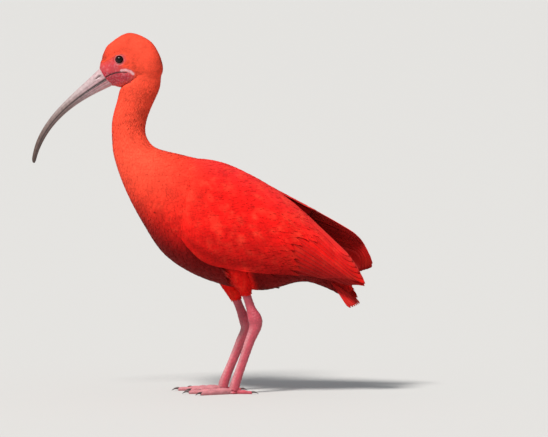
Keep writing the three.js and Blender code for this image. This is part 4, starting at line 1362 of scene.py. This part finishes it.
def finish_skin(mesh):
    """Gives the skin the coat's markings with their painted sheen and shade, darkened a little as painted
    shade under the coat, the face's and the legs' own colours with their painted shade and highlight, and
    its materials.
    """
    slots = fetched(mesh.polygons, "material_index", 1, np.int32)
    vertex = fetched(mesh.loops, "vertex_index", 1, np.int32)
    total = fetched(mesh.polygons, "loop_total", 1, np.int32)
    on_leg = np.zeros(len(mesh.vertices), bool)
    on_leg[vertex[np.repeat(slots == SKIN_PARTS.index("leg"), total)]] = True
    points = mesh_points(mesh)
    # Painted shade: the skin under the coat is the plumage's colour darkened a little.
    colour = plumage_colour(points, fetched(mesh.vertices, "normal", 3)) * 0.92
    colour = mix(colour, face_colour(points), bareness(points))
    set_colour(mesh, np.where(on_leg[:, None], leg_colour(points), colour))
    for i, part in enumerate(SKIN_PARTS):
        mesh.materials[i] = MATERIALS["leg" if part == "leg" else "flesh"]


def build_bill(name, direction, heights):
    grid, shares = mandible(direction, curve(heights))
    sides = grid.shape[1]
    piece = tube(name, grid, shares, (0, 0, 1, 1))
    points = np.concatenate([grid.reshape(-1, 3), grid[[0, -1]].mean(axis=1)])
    s = along_tube(shares, sides)
    colour = mix(HORN_BASE, HORN_MIDDLE, smooth(0.1, 0.5, s))
    colour = mix(colour, HORN_TIP, smooth(0.45, 1.0, s))
    colour = mix(colour, HORN_PINK, smooth(0.28, 0.02, s) * (0.35 if direction > 0 else 0.7))
    # Painted highlight: paler along the top of the upper mandible and the underside of the lower one,
    # towards the base.
    up = np.clip((points[:, 2] - np.interp(points[:, 0], *bill_middle())) / 8, -1, 1)
    colour = mix(colour, HORN_HIGHLIGHT, (0.45 * smooth(0.3, 1.0, up * direction)) * smooth(0.8, 0.3, s))
    # Painted shade: a dark line where the mandibles meet.
    mouth = np.abs(np.cos(np.linspace(0, math.pi, sides)))
    mouth = np.concatenate([np.tile(mouth, len(shares)), [0, 0]])
    set_colour(piece.data, mix(colour, HORN_MOUTH_SHADE, smooth(0.985, 1.0, mouth)))
    return piece


def bill_middle():
    point, _ = bill_frame(np.linspace(-0.1, 1, 80))
    order = np.argsort(point[:, 0])
    return point[order, 0], point[order, 2]


def build_eye(word, side):
    sides = 64
    polar = np.linspace(0.02, math.pi - 0.02, 60)
    turn = turns(sides)
    radius = EYE["radius"] + 0.25 * np.exp(-((polar / 0.45) ** 2))
    x = EYE["x"] + (radius * np.sin(polar))[:, None] * np.cos(turn)
    z = EYE["z"] + (radius * np.sin(polar))[:, None] * np.sin(turn)
    y = side * (EYE["out"] + radius * np.cos(polar))[:, None] + np.zeros_like(x)
    piece = tube(f"eye_ball_{word}", np.stack([x, y, z], -1), polar, (0, 0, 1, 0.3))
    far = along_tube(polar, sides)
    iris = mix(PUPIL, IRIS, smooth(0.46, 0.56, far))
    set_colour(piece.data, mix(iris, IRIS_RIM, smooth(0.74, 0.86, far)))
    return piece


def build_claw(word, leg, name, toe):
    _, pad, ahead, across = toe_rings(leg, toe)
    radius = toe["radius"] * (1 - TOE_TAPER * CLAW_START) * toe_swell(CLAW_START)
    rings = claw_rings(pad, ahead, across, toe["length"] - 1.2, radius)
    shares = np.linspace(0, 1, len(rings))
    piece = tube(f"claw_{word}_{name}_horn", rings, shares, (0, 0, 1, 1))
    set_colour(piece.data, mix(CLAW_BASE, CLAW_TIP, along_tube(shares, rings.shape[1])))
    return piece


def placed(piece, slot, material, *nodes):
    """Gives a piece its material and the solids that it replaces, on the one body. The slot is not used.
    """
    if material:
        piece.data.materials.append(MATERIALS[material])
    if nodes:
        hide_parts(*nodes)
    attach(piece, "root")


def build_bird():
    skin = build_skin()
    finish_skin(skin.data)
    flesh = [f"{part}_{word}" for part in ("thigh", "shank", "tarsus", "foot") for word in LEGS]
    placed(skin, "leg_skin", None, "head", "neck", "torso", *flesh)
    triangles = skin_triangles(skin.data)
    faces = [tuple(face.vertices) for face in skin.data.polygons]
    surface = bvhtree.BVHTree.FromPolygons(mesh_points(skin.data).tolist(), faces)
    for dress in (dress_body, dress_head, dress_thighs):
        for piece in dress(triangles, surface):
            placed(piece, "plumage", "plumage")
    for word, leg in LEGS.items():
        *flight, last = wing_pieces(word, leg["side"])
        for piece in flight:
            placed(piece, "flight", "plumage")
        placed(last, "flight", "plumage", f"wing_{word}")
        placed(build_eye(word, leg["side"]), "eye", "eye", f"eye_{word}")
        for name, toe in TOES.items():
            placed(build_claw(word, leg, name, toe), "claw", "claw", f"claw_{word}_{name}")
    placed(tail_feathers(), "flight", "plumage", "tail")
    placed(build_bill("bill_upper_horn", 1, CULMEN_HEIGHT), "bill", "horn", "bill_upper")
    placed(build_bill("bill_lower_horn", -1, LOWER_HEIGHT), "bill", "horn", "bill_lower")


def build_studio():
    half = FLOOR_HALF * 1000
    points = np.array([(-half, -half, 0), (half, -half, 0), (half, half, 0), (-half, half, 0)])
    floor = mesh_object("floor", points - CENTRED_BY, [[0, 1, 2, 3]])
    floor.data.materials.append(floor_material())
    world = bpy.data.worlds.new("studio")
    world.use_nodes = True
    background = world.node_tree.nodes["Background"]
    background.inputs["Color"].default_value = (0.9, 0.95, 1.0, 1)
    background.inputs["Strength"].default_value = AMBIENT
    bpy.context.scene.world = world
    key = bpy.data.lights.new("key", "SUN")
    key.energy, key.angle, key.color = SUN["energy"], math.radians(SUN["angle"]), SUN["colour"]
    sun = bpy.data.objects.new("key", key)
    sun.rotation_euler = Vector(SUN["from"]).to_track_quat("Z", "Y").to_euler()
    bpy.context.scene.collection.objects.link(sun)


def build_camera():
    target = Vector(CAMERA["target"])
    lift = math.radians(CAMERA["elevation"])
    data = bpy.data.cameras.new("camera")
    data.sensor_width = 36
    data.lens = 36 * CAMERA["focal"] / CAMERA["picture"]
    data.clip_start, data.clip_end = 0.1, 3 * FLOOR_HALF
    camera = bpy.data.objects.new("camera", data)
    camera.location = target + CAMERA["distance"] * Vector((0, -math.cos(lift), math.sin(lift)))
    camera.rotation_euler = (target - camera.location).to_track_quat("-Z", "Y").to_euler()
    bpy.context.scene.collection.objects.link(camera)
    bpy.context.scene.camera = camera


build_camera()
build_studio()
build_bird()
bpy.context.scene.view_settings.view_transform = "Standard"
